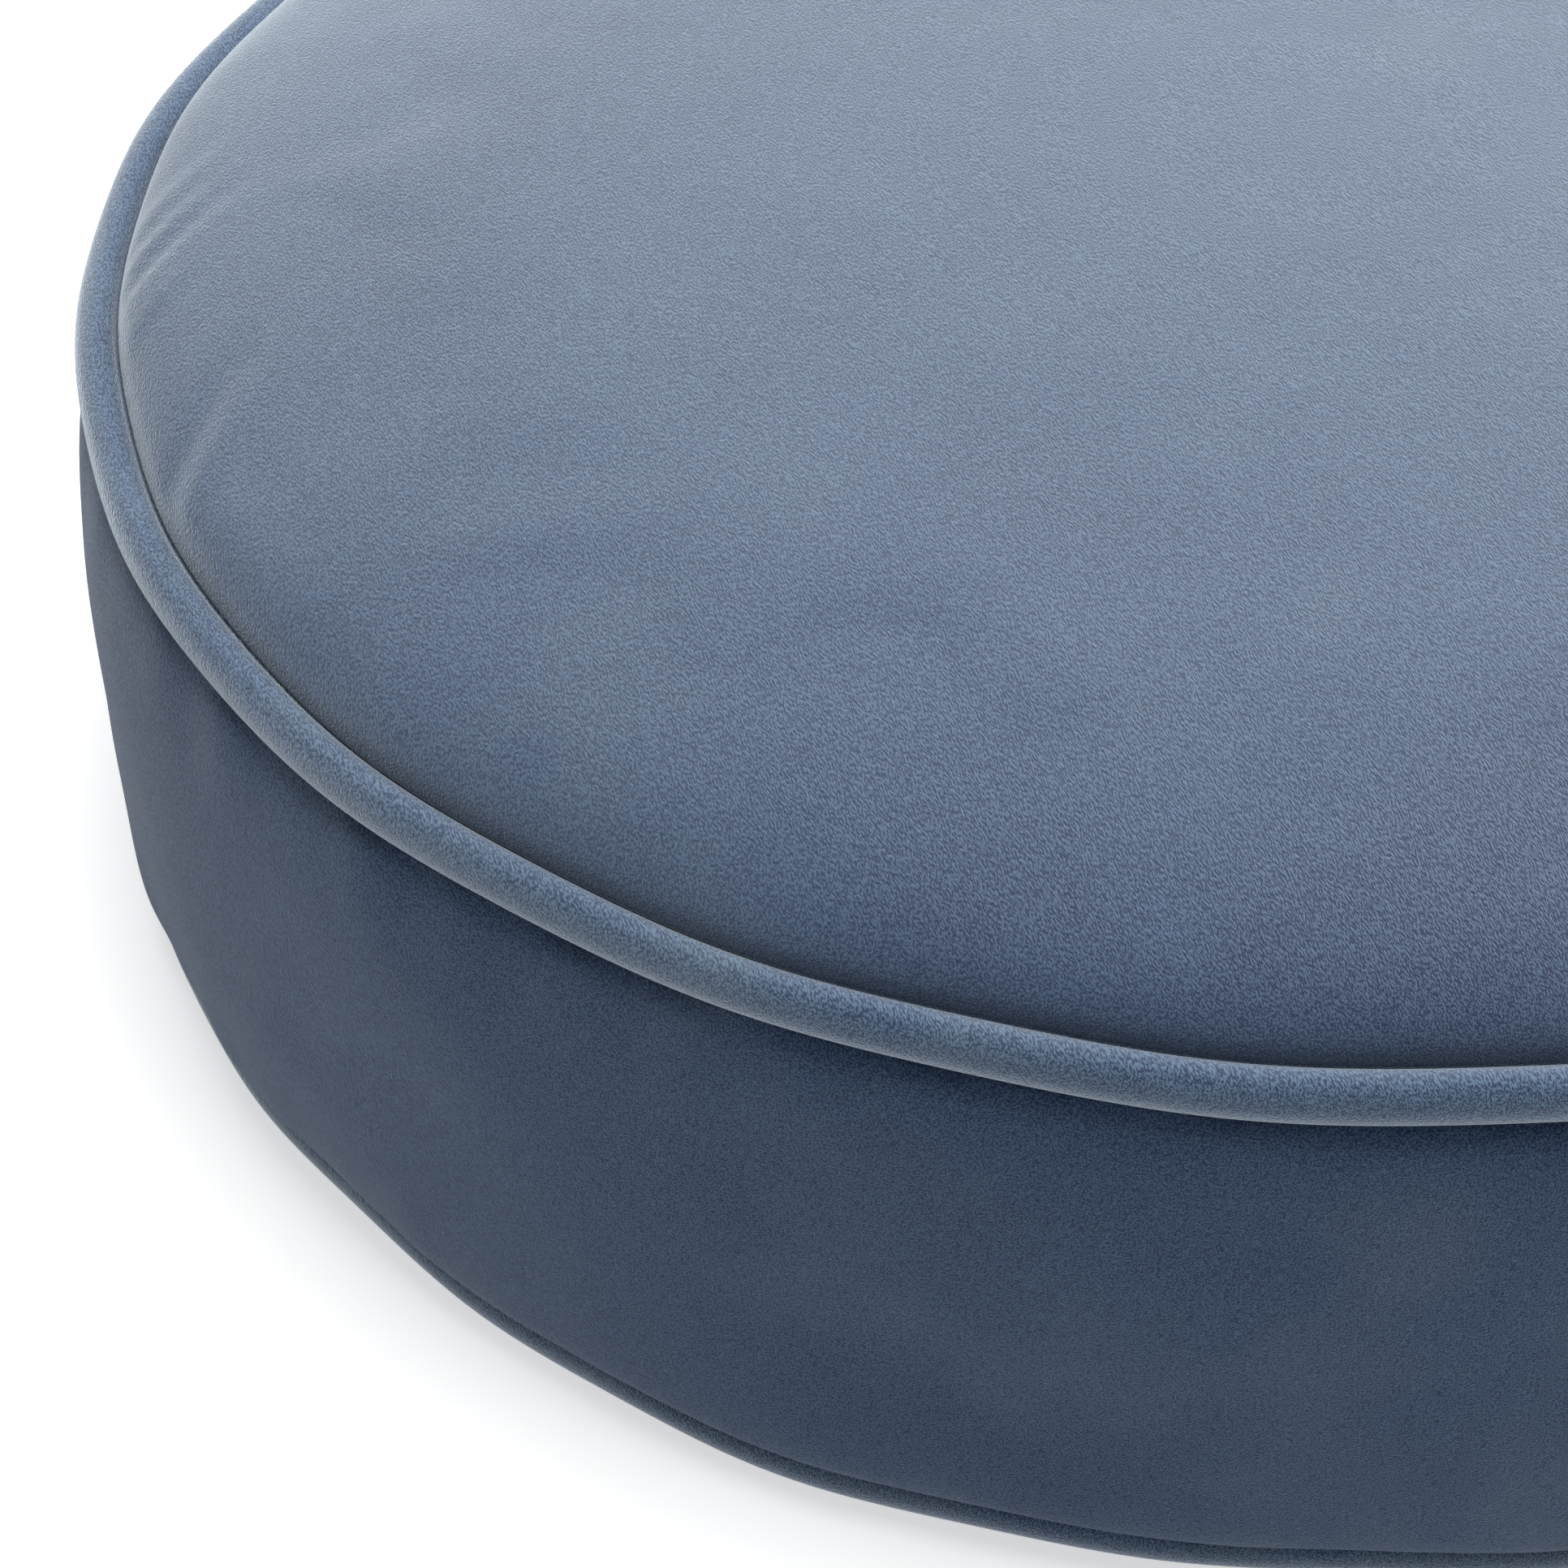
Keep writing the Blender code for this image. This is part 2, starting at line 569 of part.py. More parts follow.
def make_slider(metal):
    """Two plates joined by a post between the rows, with side flanges and a bridge for the pull."""
    hub = at_angle("zip_slider_hub", SLIDER_ANGLE)
    top = extruded(plate_outline(PLATE_OVER), (1, 0, 0), 0, PLATE)
    slider = finish("zip_slider", top, metal, hub)
    bottom = extruded(plate_outline(PLATE_UNDER - PLATE), (1, 0, 0), 0, PLATE)

    bite = PLATE / 2
    nose = SLIDER_LENGTH / 2
    post_nose = nose - POST_SETBACK
    post_low = (TAPE_RADIUS + PLATE_UNDER - bite, post_nose - POST_LENGTH, MIDDLE - POST_WIDTH / 2)
    post_high = (TAPE_RADIUS + PLATE_OVER + bite, post_nose, MIDDLE + POST_WIDTH / 2)
    helpers = [("slider_bottom_plate", bottom), ("slider_post", block(post_low, post_high))]

    for place, way in (("upper", 1), ("lower", -1)):
        across = sorted((way * SLIDER_SIDE, way * (SLIDER_SIDE - FLANGE)))
        flange_nose = nose - SLIDER_CORNER
        low = (TAPE_RADIUS + COIL_BASE + TOUCH, flange_nose - FLANGE_LENGTH, MIDDLE + across[0])
        high = (TAPE_RADIUS + PLATE_OVER + bite, flange_nose, MIDDLE + across[1])
        helpers.append((f"slider_flange_{place}", block(low, high)))

    half = BRIDGE_LENGTH / 2
    window = half - BRIDGE_LEG
    ceiling = BRIDGE_BASE + BRIDGE_WINDOW
    side = [(BRIDGE_BASE - bite, half), (ceiling - BRIDGE_BAR / 3, half)]
    side += [(ceiling + BRIDGE_BAR, half - BRIDGE_CORNER)]
    hollow = [(ceiling, window), (BRIDGE_BASE - bite, window)]
    section = side + [(depth, -run) for depth, run in reversed(side)]
    section += [(depth, -run) for depth, run in reversed(hollow)] + hollow
    outline = [(TAPE_RADIUS + depth, run, MIDDLE) for depth, run in section]
    bridge = extruded(outline, (0, 0, 1), -BRIDGE_WIDTH / 2, BRIDGE_WIDTH / 2)
    helpers.append(("slider_bridge", bridge))

    join(slider, *(finish(name, shape, metal, hub) for name, shape in helpers))
    return hub


def make_pull(metal, hub):
    """A flat tab whose eye bar passes under the bridge. Its origin is on its hinge line."""
    bar = TAB_THICKNESS / 2
    eye = EYE_OPENING / 2 + EYE_WALL
    shoulder = eye + TAB_SHOULDER
    side = [(bar, eye), (-EYE_LENGTH - 2 * bar, eye), (-EYE_LENGTH - 4 * bar, shoulder)]
    side += [(-TAB_LENGTH + TAB_CORNER, shoulder), (-TAB_LENGTH, shoulder - TAB_CORNER)]
    plan = side + [(run, -across) for run, across in reversed(side)]
    outline = [(0, run, across) for run, across in plan]
    tab = finish("zip_pull_tab", extruded(outline, (1, 0, 0), -bar, bar), metal, hub)
    half = EYE_OPENING / 2
    window = block((-2 * bar, -bar - EYE_LENGTH, -half), (2 * bar, -bar, half))
    cutter = finish("pull_eye", window, metal, hub)
    cutter.hide_render = True
    cutter.display_type = "WIRE"
    cut = tab.modifiers.new("eye", "BOOLEAN")
    cut.operation = "DIFFERENCE"
    cut.object = cutter
    chamfer = tab.modifiers.new("edges", "BEVEL")
    chamfer.width = TAB_EDGE
    chamfer.limit_method = "ANGLE"
    chamfer.angle_limit = math.radians(40)
    for piece in (tab, cutter):
        piece.location = (TAPE_RADIUS + PIVOT_DEPTH, 0, MIDDLE)
        piece.rotation_euler.z = -TAB_LEAN


def main():
    for item in list(bpy.data.objects):
        bpy.data.objects.remove(item)
    velvet = material("velvet", (0.085, 0.112, 0.170), 0.85, sheen=0.6)
    cotton = material("cotton_cord", (0.72, 0.69, 0.62), 0.9)
    foam = material("foam", (0.86, 0.80, 0.62), 0.9)
    wadding = material("wadding", (0.88, 0.88, 0.87), 1.0)
    case_cloth = material("case_cloth", (0.80, 0.80, 0.78), 0.9)
    tape_cloth = material("zip_tape", (0.050, 0.064, 0.100), 0.8)
    nylon = material("zip_coil", (0.045, 0.056, 0.085), 0.4)
    metal = material("zip_metal", (0.32, 0.33, 0.35), 0.35, metallic=1.0)
    satin = material("label_satin", (0.82, 0.82, 0.80), 0.45)

    make_cover(velvet)
    make_piping(velvet, cotton)
    make_label(satin)
    make_pad(foam, wadding, case_cloth)
    make_zip_rows(tape_cloth, nylon)
    make_end_stops(metal)
    make_pull(metal, make_slider(metal))


main()
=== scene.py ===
"""Round velvet box cushion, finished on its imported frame.

Lengths are in metres. The cushion stands on z = 0 with its front towards -Y and its zip at the back.
"""

import math

import bpy
import numpy as np
from mathutils import Matrix, Vector, noise as cloud


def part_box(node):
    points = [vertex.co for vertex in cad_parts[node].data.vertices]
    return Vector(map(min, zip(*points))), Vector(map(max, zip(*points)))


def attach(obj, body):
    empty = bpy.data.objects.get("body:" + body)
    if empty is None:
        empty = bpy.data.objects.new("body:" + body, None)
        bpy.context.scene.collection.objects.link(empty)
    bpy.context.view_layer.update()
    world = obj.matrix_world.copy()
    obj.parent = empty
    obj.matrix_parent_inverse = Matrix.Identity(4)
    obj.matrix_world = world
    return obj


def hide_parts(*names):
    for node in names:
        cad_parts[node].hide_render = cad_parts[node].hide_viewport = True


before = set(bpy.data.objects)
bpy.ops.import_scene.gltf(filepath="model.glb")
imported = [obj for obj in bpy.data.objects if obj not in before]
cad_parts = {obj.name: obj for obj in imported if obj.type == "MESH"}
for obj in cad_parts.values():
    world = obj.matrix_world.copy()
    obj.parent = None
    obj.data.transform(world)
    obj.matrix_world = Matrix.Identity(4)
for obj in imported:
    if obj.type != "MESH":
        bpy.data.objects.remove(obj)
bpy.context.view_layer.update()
MM = 0.001


# --- Camera, lights and floor -------------------------------------------------------------------
# The camera stands close in front of the cushion and looks down on its left half.
# Two wide soft boxes and a white room light the pile evenly, so that its sheen does the modelling.

camera_place = (0.0, -0.5576, 0.4382)
camera_turn = math.radians(9.23)
camera_dip = math.radians(39.61)
camera_roll = math.radians(-1.39)

lens = bpy.data.cameras.new("camera")
lens.lens = 89.3
lens.clip_start = 0.01
camera = bpy.data.objects.new("camera", lens)
camera.location = camera_place
aim = Matrix.Rotation(camera_turn, 3, "Z")
aim = aim @ Matrix.Rotation(math.pi / 2 - camera_dip, 3, "X")
aim = aim @ Matrix.Rotation(camera_roll, 3, "Z")
camera.rotation_euler = aim.to_euler()
bpy.context.scene.collection.objects.link(camera)
bpy.context.scene.camera = camera


def soft_box(name, place, size, power):
    """A square area light that faces the middle of the cushion."""
    light = bpy.data.lights.new(name, "AREA")
    light.size = size
    light.energy = power
    box = bpy.data.objects.new(name, light)
    box.location = place
    towards = Vector((0, 0, 0.05)) - Vector(place)
    box.rotation_euler = towards.to_track_quat("-Z", "Y").to_euler()
    bpy.context.scene.collection.objects.link(box)


soft_box("back_light", (1.25, 1.6, 1.15), 1.2, 84)
soft_box("top_light", (0.1, 0.1, 2.0), 1.4, 50)

room = bpy.data.worlds.new("white_room")
room.use_nodes = True
room.node_tree.nodes["Background"].inputs["Color"].default_value = (1.0, 1.0, 1.0, 1.0)
room.node_tree.nodes["Background"].inputs["Strength"].default_value = 0.22
bpy.context.scene.world = room
bpy.context.scene.view_settings.view_transform = "Standard"

bpy.ops.object.select_all(action="DESELECT")
bpy.ops.mesh.primitive_plane_add(size=12, location=(0, 0, 0))
floor = bpy.context.object
floor.name = "floor"


def plain_material(name, values):
    """A new material whose shader starts with these values."""
    made = bpy.data.materials.new(name)
    made.use_nodes = True
    for socket, value in values.items():
        made.node_tree.nodes["Principled BSDF"].inputs[socket].default_value = value
    return made


paint = {"Base Color": (0.62, 0.62, 0.62, 1.0), "Roughness": 0.9}
glow = {"Emission Color": (1.0, 1.0, 1.0, 1.0), "Emission Strength": 0.58}
pale = plain_material("pale_floor", {**paint, **glow})
floor.data.materials.append(pale)


# --- Seat panel ---------------------------------------------------------------------------------
# One round of velvet, cut a little larger than its seam and eased in, so that a few short tucks
# gather at the left. The wadding under it domes the seat, which drops steeply into the seam.

velvet_thickness = 1.0 * MM
piping_radius = 3.6 * MM
seam_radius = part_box("top_piping_cover")[1].x - piping_radius
upper_seam = (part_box("top_piping_cover")[0].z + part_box("top_piping_cover")[1].z) / 2
lower_seam = (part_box("bottom_piping_cover")[0].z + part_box("bottom_piping_cover")[1].z) / 2
middle = (upper_seam + lower_seam) / 2
stitch_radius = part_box("top_panel")[1].x
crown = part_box("top_panel")[1].z
turned_in = 8 * MM
ply_height = 1.45 * MM


def select_only(piece):
    bpy.ops.object.select_all(action="DESELECT")
    piece.select_set(True)
    bpy.context.view_layer.objects.active = piece


def apply_modifier(piece, kind, **settings):
    """Adds a modifier, sets it and applies it to the piece's own mesh."""
    select_only(piece)
    modifier = piece.modifiers.new(kind.lower(), kind)
    for setting, value in settings.items():
        setattr(modifier, setting, value)
    bpy.ops.object.modifier_apply(modifier=modifier.name)


def spun(name, path, start=0.0, sweep=2 * math.pi, steps=288):
    """Draws a path of (radius, height) points by extruding one vertex, and turns it round the axis."""
    bpy.ops.object.select_all(action="DESELECT")
    bpy.ops.mesh.primitive_plane_add(size=MM, location=(0, 0, 0))
    piece = bpy.context.object
    piece.name = name
    piece.data.name = name
    places = [Vector((r * math.cos(start), r * math.sin(start), z)) for r, z in path]
    bpy.ops.object.mode_set(mode="EDIT")
    bpy.ops.mesh.select_all(action="SELECT")
    bpy.ops.mesh.merge(type="CENTER")
    bpy.ops.transform.translate(value=places[0])
    for here, after in zip(places, places[1:]):
        bpy.ops.mesh.extrude_region_move(TRANSFORM_OT_translate={"value": after - here})
    bpy.ops.object.mode_set(mode="OBJECT")
    whole = math.isclose(sweep, 2 * math.pi)
    turn = {"angle": sweep, "steps": steps, "render_steps": steps, "use_merge_vertices": whole}
    apply_modifier(piece, "SCREW", merge_threshold=MM / 1000, **turn)
    bpy.ops.object.mode_set(mode="EDIT")
    bpy.ops.mesh.select_all(action="SELECT")
    bpy.ops.mesh.remove_doubles(threshold=MM / 1000)
    bpy.ops.mesh.normals_make_consistent(inside=False)
    bpy.ops.object.mode_set(mode="OBJECT")
    bpy.ops.object.shade_smooth()
    return piece


def points_of(piece):
    points = np.empty(len(piece.data.vertices) * 3)
    piece.data.vertices.foreach_get("co", points)
    return points.reshape(-1, 3)


def put_points(piece, points):
    piece.data.vertices.foreach_set("co", np.asarray(points).ravel())
    piece.data.update()


def polar(points):
    """Each point's angle round the cushion's axis, and its distance from the axis."""
    return np.arctan2(points[:, 1], points[:, 0]), np.hypot(points[:, 0], points[:, 1])


def widen(points, stretch):
    """Moves each point straight out from the axis, or in towards it, by its own factor."""
    points[:, :2] *= stretch[:, None]


def ease(value, start, end):
    """0 before start, 1 after end, and a smooth rise between them."""
    share = np.clip((value - start) / (end - start), 0.0, 1.0)
    return share * share * (3 - 2 * share)


def sway(angle, *waves):
    """Slow waves round the cushion: each has an amount in millimetres, a count and a start."""
    return sum(amount * np.sin(count * angle + start) for amount, count, start in waves)


let_down = 3.8  # millimetres that the lower seam hangs below a straight one
drawn_in = 0.6  # and that it is pulled in


def settle(piece):
    """The small sways of hand-sewn seams, with the lower one let down. Nested cloths sway together."""
    points = points_of(piece)
    angle, radius = polar(points)
    height = points[:, 2]
    seam_reach = 14 * MM
    upper = ease(height, middle + seam_reach, upper_seam)
    lower = ease(-height, -middle + seam_reach, -lower_seam)
    front = ease(-points[:, 1], -60 * MM, 20 * MM)
    rim = ease(radius, 180 * MM, 196 * MM)
    off_floor = ease(height, 0.0, 8 * MM)
    out_upper = sway(angle, (0.5, 3, 0.6), (0.35, 8, 2.0), (0.2, 19, 0.0))
    out_lower = sway(angle, (0.6, 4, 2.1), (0.4, 9, 0.0), (0.25, 23, 1.0)) - drawn_in
    out_side = sway(angle, (0.8, 5, 1.1), (0.45, 13, 60 * height))
    up_upper = sway(angle, (0.6, 2, 1.0), (0.4, 7, 0.5), (0.2, 17, 0.0))
    up_lower = sway(angle, (0.4, 3, 0.2), (0.35, 8, 1.3), (0.2, 21, 0.0)) - let_down
    out = upper * out_upper + lower * out_lower + (1 - upper - lower) * front * out_side
    widen(points, 1 + rim * out * MM / np.maximum(radius, MM))
    points[:, 2] += rim * (upper * up_upper + lower * off_floor * up_lower) * MM
    put_points(piece, points)


def thicken(piece, thickness):
    """Gives a cloth its own thickness behind its face."""
    apply_modifier(piece, "SOLIDIFY", thickness=thickness, offset=-1)
    bpy.ops.object.shade_smooth()


def domed(edge, base, top, steps, power=0.5):
    """Outline of a dome, from its edge in to its middle. A smaller power gives it a steeper edge."""
    shares = [math.cos(math.pi / 2 * i / steps) for i in range(steps)]
    heights = [base + (top - base) * (1 - share**2.2) ** power for share in shares]
    return [(edge * share, height) for share, height in zip(shares, heights)] + [(0.0, top)]


slack = 0.8 * MM  # the cloth starts this much lower than the filling lifts it
seat_ply = upper_seam + ply_height
seat_path = [(stitch_radius - turned_in, seat_ply), (stitch_radius - turned_in / 2, seat_ply)]
seat_path += domed(stitch_radius, seat_ply, crown - slack, 46, 0.41)
seat = spun("seat_panel", seat_path, steps=180)


def swell(piece, held, most, frames=20):
    """Lets the filling push a cloth up between its seams. held marks the points that are sewn down.

    The push fades out over the middle, where the mesh closes to one point.
    """
    before = points_of(piece)
    sewn = piece.vertex_groups.new(name="sewn")
    sewn.add([int(i) for i in np.flatnonzero(held)], 1.0, "REPLACE")
    cloth = piece.modifiers.new("cloth", "CLOTH")
    cloth.settings.quality = 5
    cloth.settings.mass = 0.3
    cloth.settings.tension_stiffness = 60
    cloth.settings.compression_stiffness = 60
    cloth.settings.bending_stiffness = 60
    cloth.settings.vertex_group_mass = "sewn"
    cloth.settings.use_pressure = True
    cloth.settings.uniform_pressure_force = 4
    cloth.settings.effector_weights.gravity = 0
    cloth.collision_settings.use_self_collision = False
    cloth.point_cache.frame_end = frames
    for frame_number in range(1, frames + 1):
        bpy.context.scene.frame_set(frame_number)
    select_only(piece)
    bpy.ops.object.modifier_apply(modifier="cloth")
    bpy.context.scene.frame_set(1)
    piece.vertex_groups.clear()
    radius = polar(before)[1]
    travel = np.clip(points_of(piece)[:, 2] - before[:, 2], 0.0, most)
    before[:, 2] += travel * ease(radius, stitch_radius / 2, stitch_radius - 30 * MM)
    put_points(piece, before)


swell(seat, polar(points_of(seat))[1] > stitch_radius - 0.4 * MM, 1.6 * MM)
bpy.ops.object.mode_set(mode="EDIT")
bpy.ops.mesh.select_all(action="SELECT")
bpy.ops.mesh.subdivide(number_cuts=1, smoothness=1)
bpy.ops.object.mode_set(mode="OBJECT")

# Each tuck: its angle round the seat and half its width in degrees, then its height and how far in
# it runs in millimetres. The tucks slant, by so many degrees for each millimetre inwards.
tucks = [(-167.7, 0.9, 0.5, 20), (-163.7, 1.1, 0.7, 26), (-161.6, 0.8, 0.6, 22)]
tucks += [(-146.0, 1.5, 0.9, 26), (-171.5, 1.2, 0.3, 18), (-143.0, 1.8, 0.3, 18), (-128.0, 2.2, 0.2, 14)]
slant = 0.4
points = points_of(seat)
angle, radius = polar(points)
inwards = (stitch_radius - radius) / MM
for middle_angle, half_width, lift, length in tucks:
    across = (np.degrees(angle) - middle_angle + slant * inwards) / half_width
    ridge = np.exp(-(across**2)) - 0.75 * np.exp(-((across + 1.55) ** 2))
    along = ease(inwards, 0.0, 2.5) * (1 - ease(inwards, 3.0, length))
    points[:, 2] += ridge * along * lift * MM
put_points(seat, points)
settle(seat)
thicken(seat, velvet_thickness)


def add_node(made, kind, feeds, **settings):
    """Adds a node to a material. Each feed is a plain value or another node's output."""
    node = made.node_tree.nodes.new("ShaderNode" + kind)
    for setting, value in settings.items():
        setattr(node, setting, value)
    for socket, value in feeds.items():
        if isinstance(value, bpy.types.NodeSocket):
            made.node_tree.links.new(value, node.inputs[socket])
        else:
            node.inputs[socket].default_value = value
    return node


def own_space(made):
    """Where each point is on the piece itself, so that a pattern stays put."""
    return add_node(made, "TexCoord", {}).outputs["Object"]


def feed_shader(made, socket, source):
    made.node_tree.links.new(source, made.node_tree.nodes["Principled BSDF"].inputs[socket])


def ramp(made, source, *stops):
    """Colours that follow a node's output. Each stop is a place on the ramp and a colour."""
    shades = add_node(made, "ValToRGB", {"Fac": source})
    elements = shades.color_ramp.elements
    while len(elements) < len(stops):
        elements.new(0.5)
    for element, (place, colour) in zip(elements, stops):
        element.position = place
        element.color = (*colour, 1.0)
    return shades.outputs["Color"]


def colour_by(made, source, *stops):
    feed_shader(made, "Base Color", ramp(made, source, *stops))


def relief(made, height, strength, distance, over=None):
    """Raises the surface by a node's output, on top of an earlier relief if there is one."""
    bump = add_node(made, "Bump", {"Height": height, "Strength": strength, "Distance": distance})
    if over:
        made.node_tree.links.new(over, bump.inputs["Normal"])
    feed_shader(made, "Normal", bump.outputs["Normal"])
    return bump.outputs["Normal"]


def velvet(name, sheen, light=1.0):
    """Short dense pile: navy at its roots, greyer at its tips, under a soft sheen. The tips lie in a
    fine slanting grain. The roots follow the pile marks, which carry painted sheen and shade, and light
    above or below 1 paints a lit or shaded copy, with greyer or darker tips."""
    values = {"Roughness": 0.8, "Specular IOR Level": 0.25, "Sheen Weight": sheen, "Sheen Roughness": 0.5}
    made = plain_material(name, {**values, "Sheen Tint": (0.81, 0.89, 0.95, 1.0)})
    place = own_space(made)
    slant_and_length = {"Rotation": (0, 0, math.radians(-69)), "Scale": (3.2, 1.0, 1.0), "Vector": place}
    slanted = add_node(made, "Mapping", slant_and_length, vector_type="TEXTURE")
    fine = {"Scale": 4300, "Detail": 0.5, "Vector": slanted.outputs["Vector"]}
    grain = add_node(made, "TexNoise", fine).outputs["Fac"]
    brush_sheen_and_shade = add_node(made, "Attribute", {}, attribute_name="brush_sheen_and_shade").outputs["Fac"]
    shade = add_node(made, "MapRange", {"Value": brush_sheen_and_shade, "From Min": -1.0}).outputs["Result"]
    # Painted sheen and shade: the roots go dark navy where the pile is laid away and greyer where it
    # stands up.
    laid_away_shade, usual, raised = (0.0, 0.010, 0.049), (0.006, 0.021, 0.065), (0.037, 0.053, 0.087)
    roots = ramp(made, shade, (0.0, laid_away_shade), (0.5, usual), (1.0, raised))
    span = {"Value": grain, "From Min": 0.4, "From Max": 0.62, "To Min": 0.0, "To Max": 0.06 * light}
    tips = add_node(made, "MapRange", span).outputs["Result"]
    tip_tint = (0.6, 0.94, 1.2)
    colour = add_node(made, "VectorMath", {0: tips, 1: tip_tint, 2: roots}, operation="MULTIPLY_ADD")
    feed_shader(made, "Base Color", colour.outputs["Vector"])
    lumps = add_node(made, "TexNoise", {"Scale": 50, "Detail": 1.0, "Vector": place}).outputs["Fac"]
    lay = relief(made, lumps, 0.35, 0.7 * MM)
    relief(made, grain, 0.5, 0.42 * MM, over=lay)
    return made


def brush_and_paint_sheen(piece, strength, shade_and_sheen_strokes=()):
    """Marks the pile in patches that carry painted light: from -1, laid away and painted dark as shade, to
    1, lifted and painted light and grey as sheen.
    """
    layer = piece.data.attributes.new("brush_sheen_and_shade", "FLOAT", "POINT")
    marks = []
    for vertex in piece.data.vertices:
        ragged = cloud.noise(vertex.co * 95)
        mark = strength * (1.5 * cloud.noise(vertex.co * 34) + 0.7 * ragged)
        for x, y, width, amount in shade_and_sheen_strokes:
            away = ((vertex.co.x - x * MM) ** 2 + (vertex.co.y - y * MM) ** 2) / (width * MM) ** 2
            if away < 6:
                mark += amount * math.exp(-away) * (1 + 0.9 * ragged)
        marks.append(max(-1.0, min(1.0, mark)))
    layer.data.foreach_set("value", marks)


# Each stroke: its place and its width in millimetres, and its mark, from dark at -1 to light at 1.
# Most are dark, painted shade along the front rim and over the left of the seat; the light ones are
# painted sheen.
shade_and_sheen_strokes = [(-47, -188, 7, -0.6), (-38, -180, 12, -0.45), (-22, -184, 16, -0.5), (-3, -190, 14, -0.4)]
shade_and_sheen_strokes += [(16, -182, 20, -0.9), (38, -172, 22, -1.0), (36, -150, 14, -0.6), (-11, -184, 8, 0.4)]
shade_and_sheen_strokes += [(-150, -30, 55, -0.4), (-130, 60, 60, -0.4)]
shade_and_sheen_strokes += [(-95, -152, 12, 0.2), (-34, -102, 22, -0.25), (-144, -65, 20, -0.25), (70, 40, 30, -0.2)]
brush_and_paint_sheen(seat, 0.2, shade_and_sheen_strokes)
pile = velvet("velvet_pile", 1.0)
seat.data.materials.append(pile)
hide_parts("top_panel")
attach(seat, "cushion")


# --- Side ---------------------------------------------------------------------------------------
# The front stretch of the side, from one upright seam to the other. It is sewn under both pipings,
# which draw it into small upright puckers, and the filling swells it out between them.

hug_radius = piping_radius + 0.3 * MM
upper_leave, lower_leave = math.radians(58), math.radians(128)
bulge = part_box("side_front")[1].x
back = math.pi / 2
zip_half = math.radians(60)  # the upright seams stand this far to each side of the back


def side_radius(height):
    """Outer radius of the plain side. It leaves the lower piping further out, and hangs full over it."""
    seam, leave, power = lower_seam, lower_leave, 3.8
    if height > middle:
        seam, leave, power = upper_seam, upper_leave, 2.4
    reach = abs(seam - middle) - hug_radius * math.sin(leave)
    share = min(abs(height - middle) / reach, 1.0)
    start = seam_radius - hug_radius * math.cos(leave)
    return start + (bulge - start) * (1 - share**power) ** (1 / 3)


def hug(seam, leave, way, steps=8):
    """From where the side leaves a piping, round behind it, to the end of its turned-in edge."""
    last = math.asin(ply_height / hug_radius)
    turns = [leave + (last - leave) * i / steps for i in range(steps + 1)]
    path = [(seam_radius - hug_radius * math.cos(t), seam - way * hug_radius * math.sin(t)) for t in turns]
    ply = seam - way * ply_height
    return path + [(stitch_radius - turned_in / 2, ply), (stitch_radius - turned_in, ply)]


def rise_to(start, end, steps):
    """Heights from one to another, closer together towards the second."""
    return [start + (end - start) * math.sin(math.pi / 2 * i / steps) for i in range(1, steps)]


side_top = upper_seam - hug_radius * math.sin(upper_leave)
side_foot = lower_seam + hug_radius * math.sin(lower_leave)
upper_side = [(side_radius(z), z) for z in rise_to(middle, side_top, 30)]
lower_side = [(side_radius(z), z) for z in rise_to(middle, side_foot, 30)]
side_path = (lower_side + hug(lower_seam, lower_leave, -1))[::-1] + [(bulge, middle)]
side_path += upper_side + hug(upper_seam, upper_leave, 1)
side = spun("side_cloth", side_path, back + zip_half, 2 * math.pi - 2 * zip_half, steps=480)


def pucker(piece, depth, seed=0.0):
    """Small upright puckers that start at each seam and fade within a finger's width."""
    points = points_of(piece)
    angle, radius = polar(points)
    angle += seed
    face = ease(radius, seam_radius - 1 * MM, seam_radius + 2 * MM)
    for seam, way, shift in ((upper_seam, 1, 0.0), (lower_seam, -1, 2.4)):
        below = way * (seam - points[:, 2])
        reach = ease(below, 2 * MM, 6 * MM) * (1 - ease(below, 7 * MM, 26 * MM))
        wave = np.sin(34 * angle + 2 * np.sin(5 * angle + shift) + shift)
        wave += 0.6 * np.sin(61 * angle + 3 * np.sin(3 * angle) + 2 * shift)
        wave *= 0.6 + 0.4 * np.sin(3 * angle + 1.7 + shift)
        widen(points, 1 + face * reach * wave * depth / radius)
    put_points(piece, points)


pucker(side, 0.35 * MM)
settle(side)
thicken(side, velvet_thickness)
brush_and_paint_sheen(side, 0.35)
# A shaded copy of the pile for the side, the underside and the back strips: far less sheen, and its tips
# painted a little darker.
shaded_pile = velvet("velvet_side_pile", 0.2, 0.95)
side.data.materials.append(shaded_pile)
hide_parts("side_front")
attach(side, "cushion")


# --- Piping covers ------------------------------------------------------------------------------
# A bias strip of the same velvet is folded round each cord, and its two edges are sewn into the
# seam. Its pile is painted lighter and greyer than the flat cloth beside it, a painted sheen on the roll.

cord_bore = piping_radius - velvet_thickness
slit = 0.15 * MM


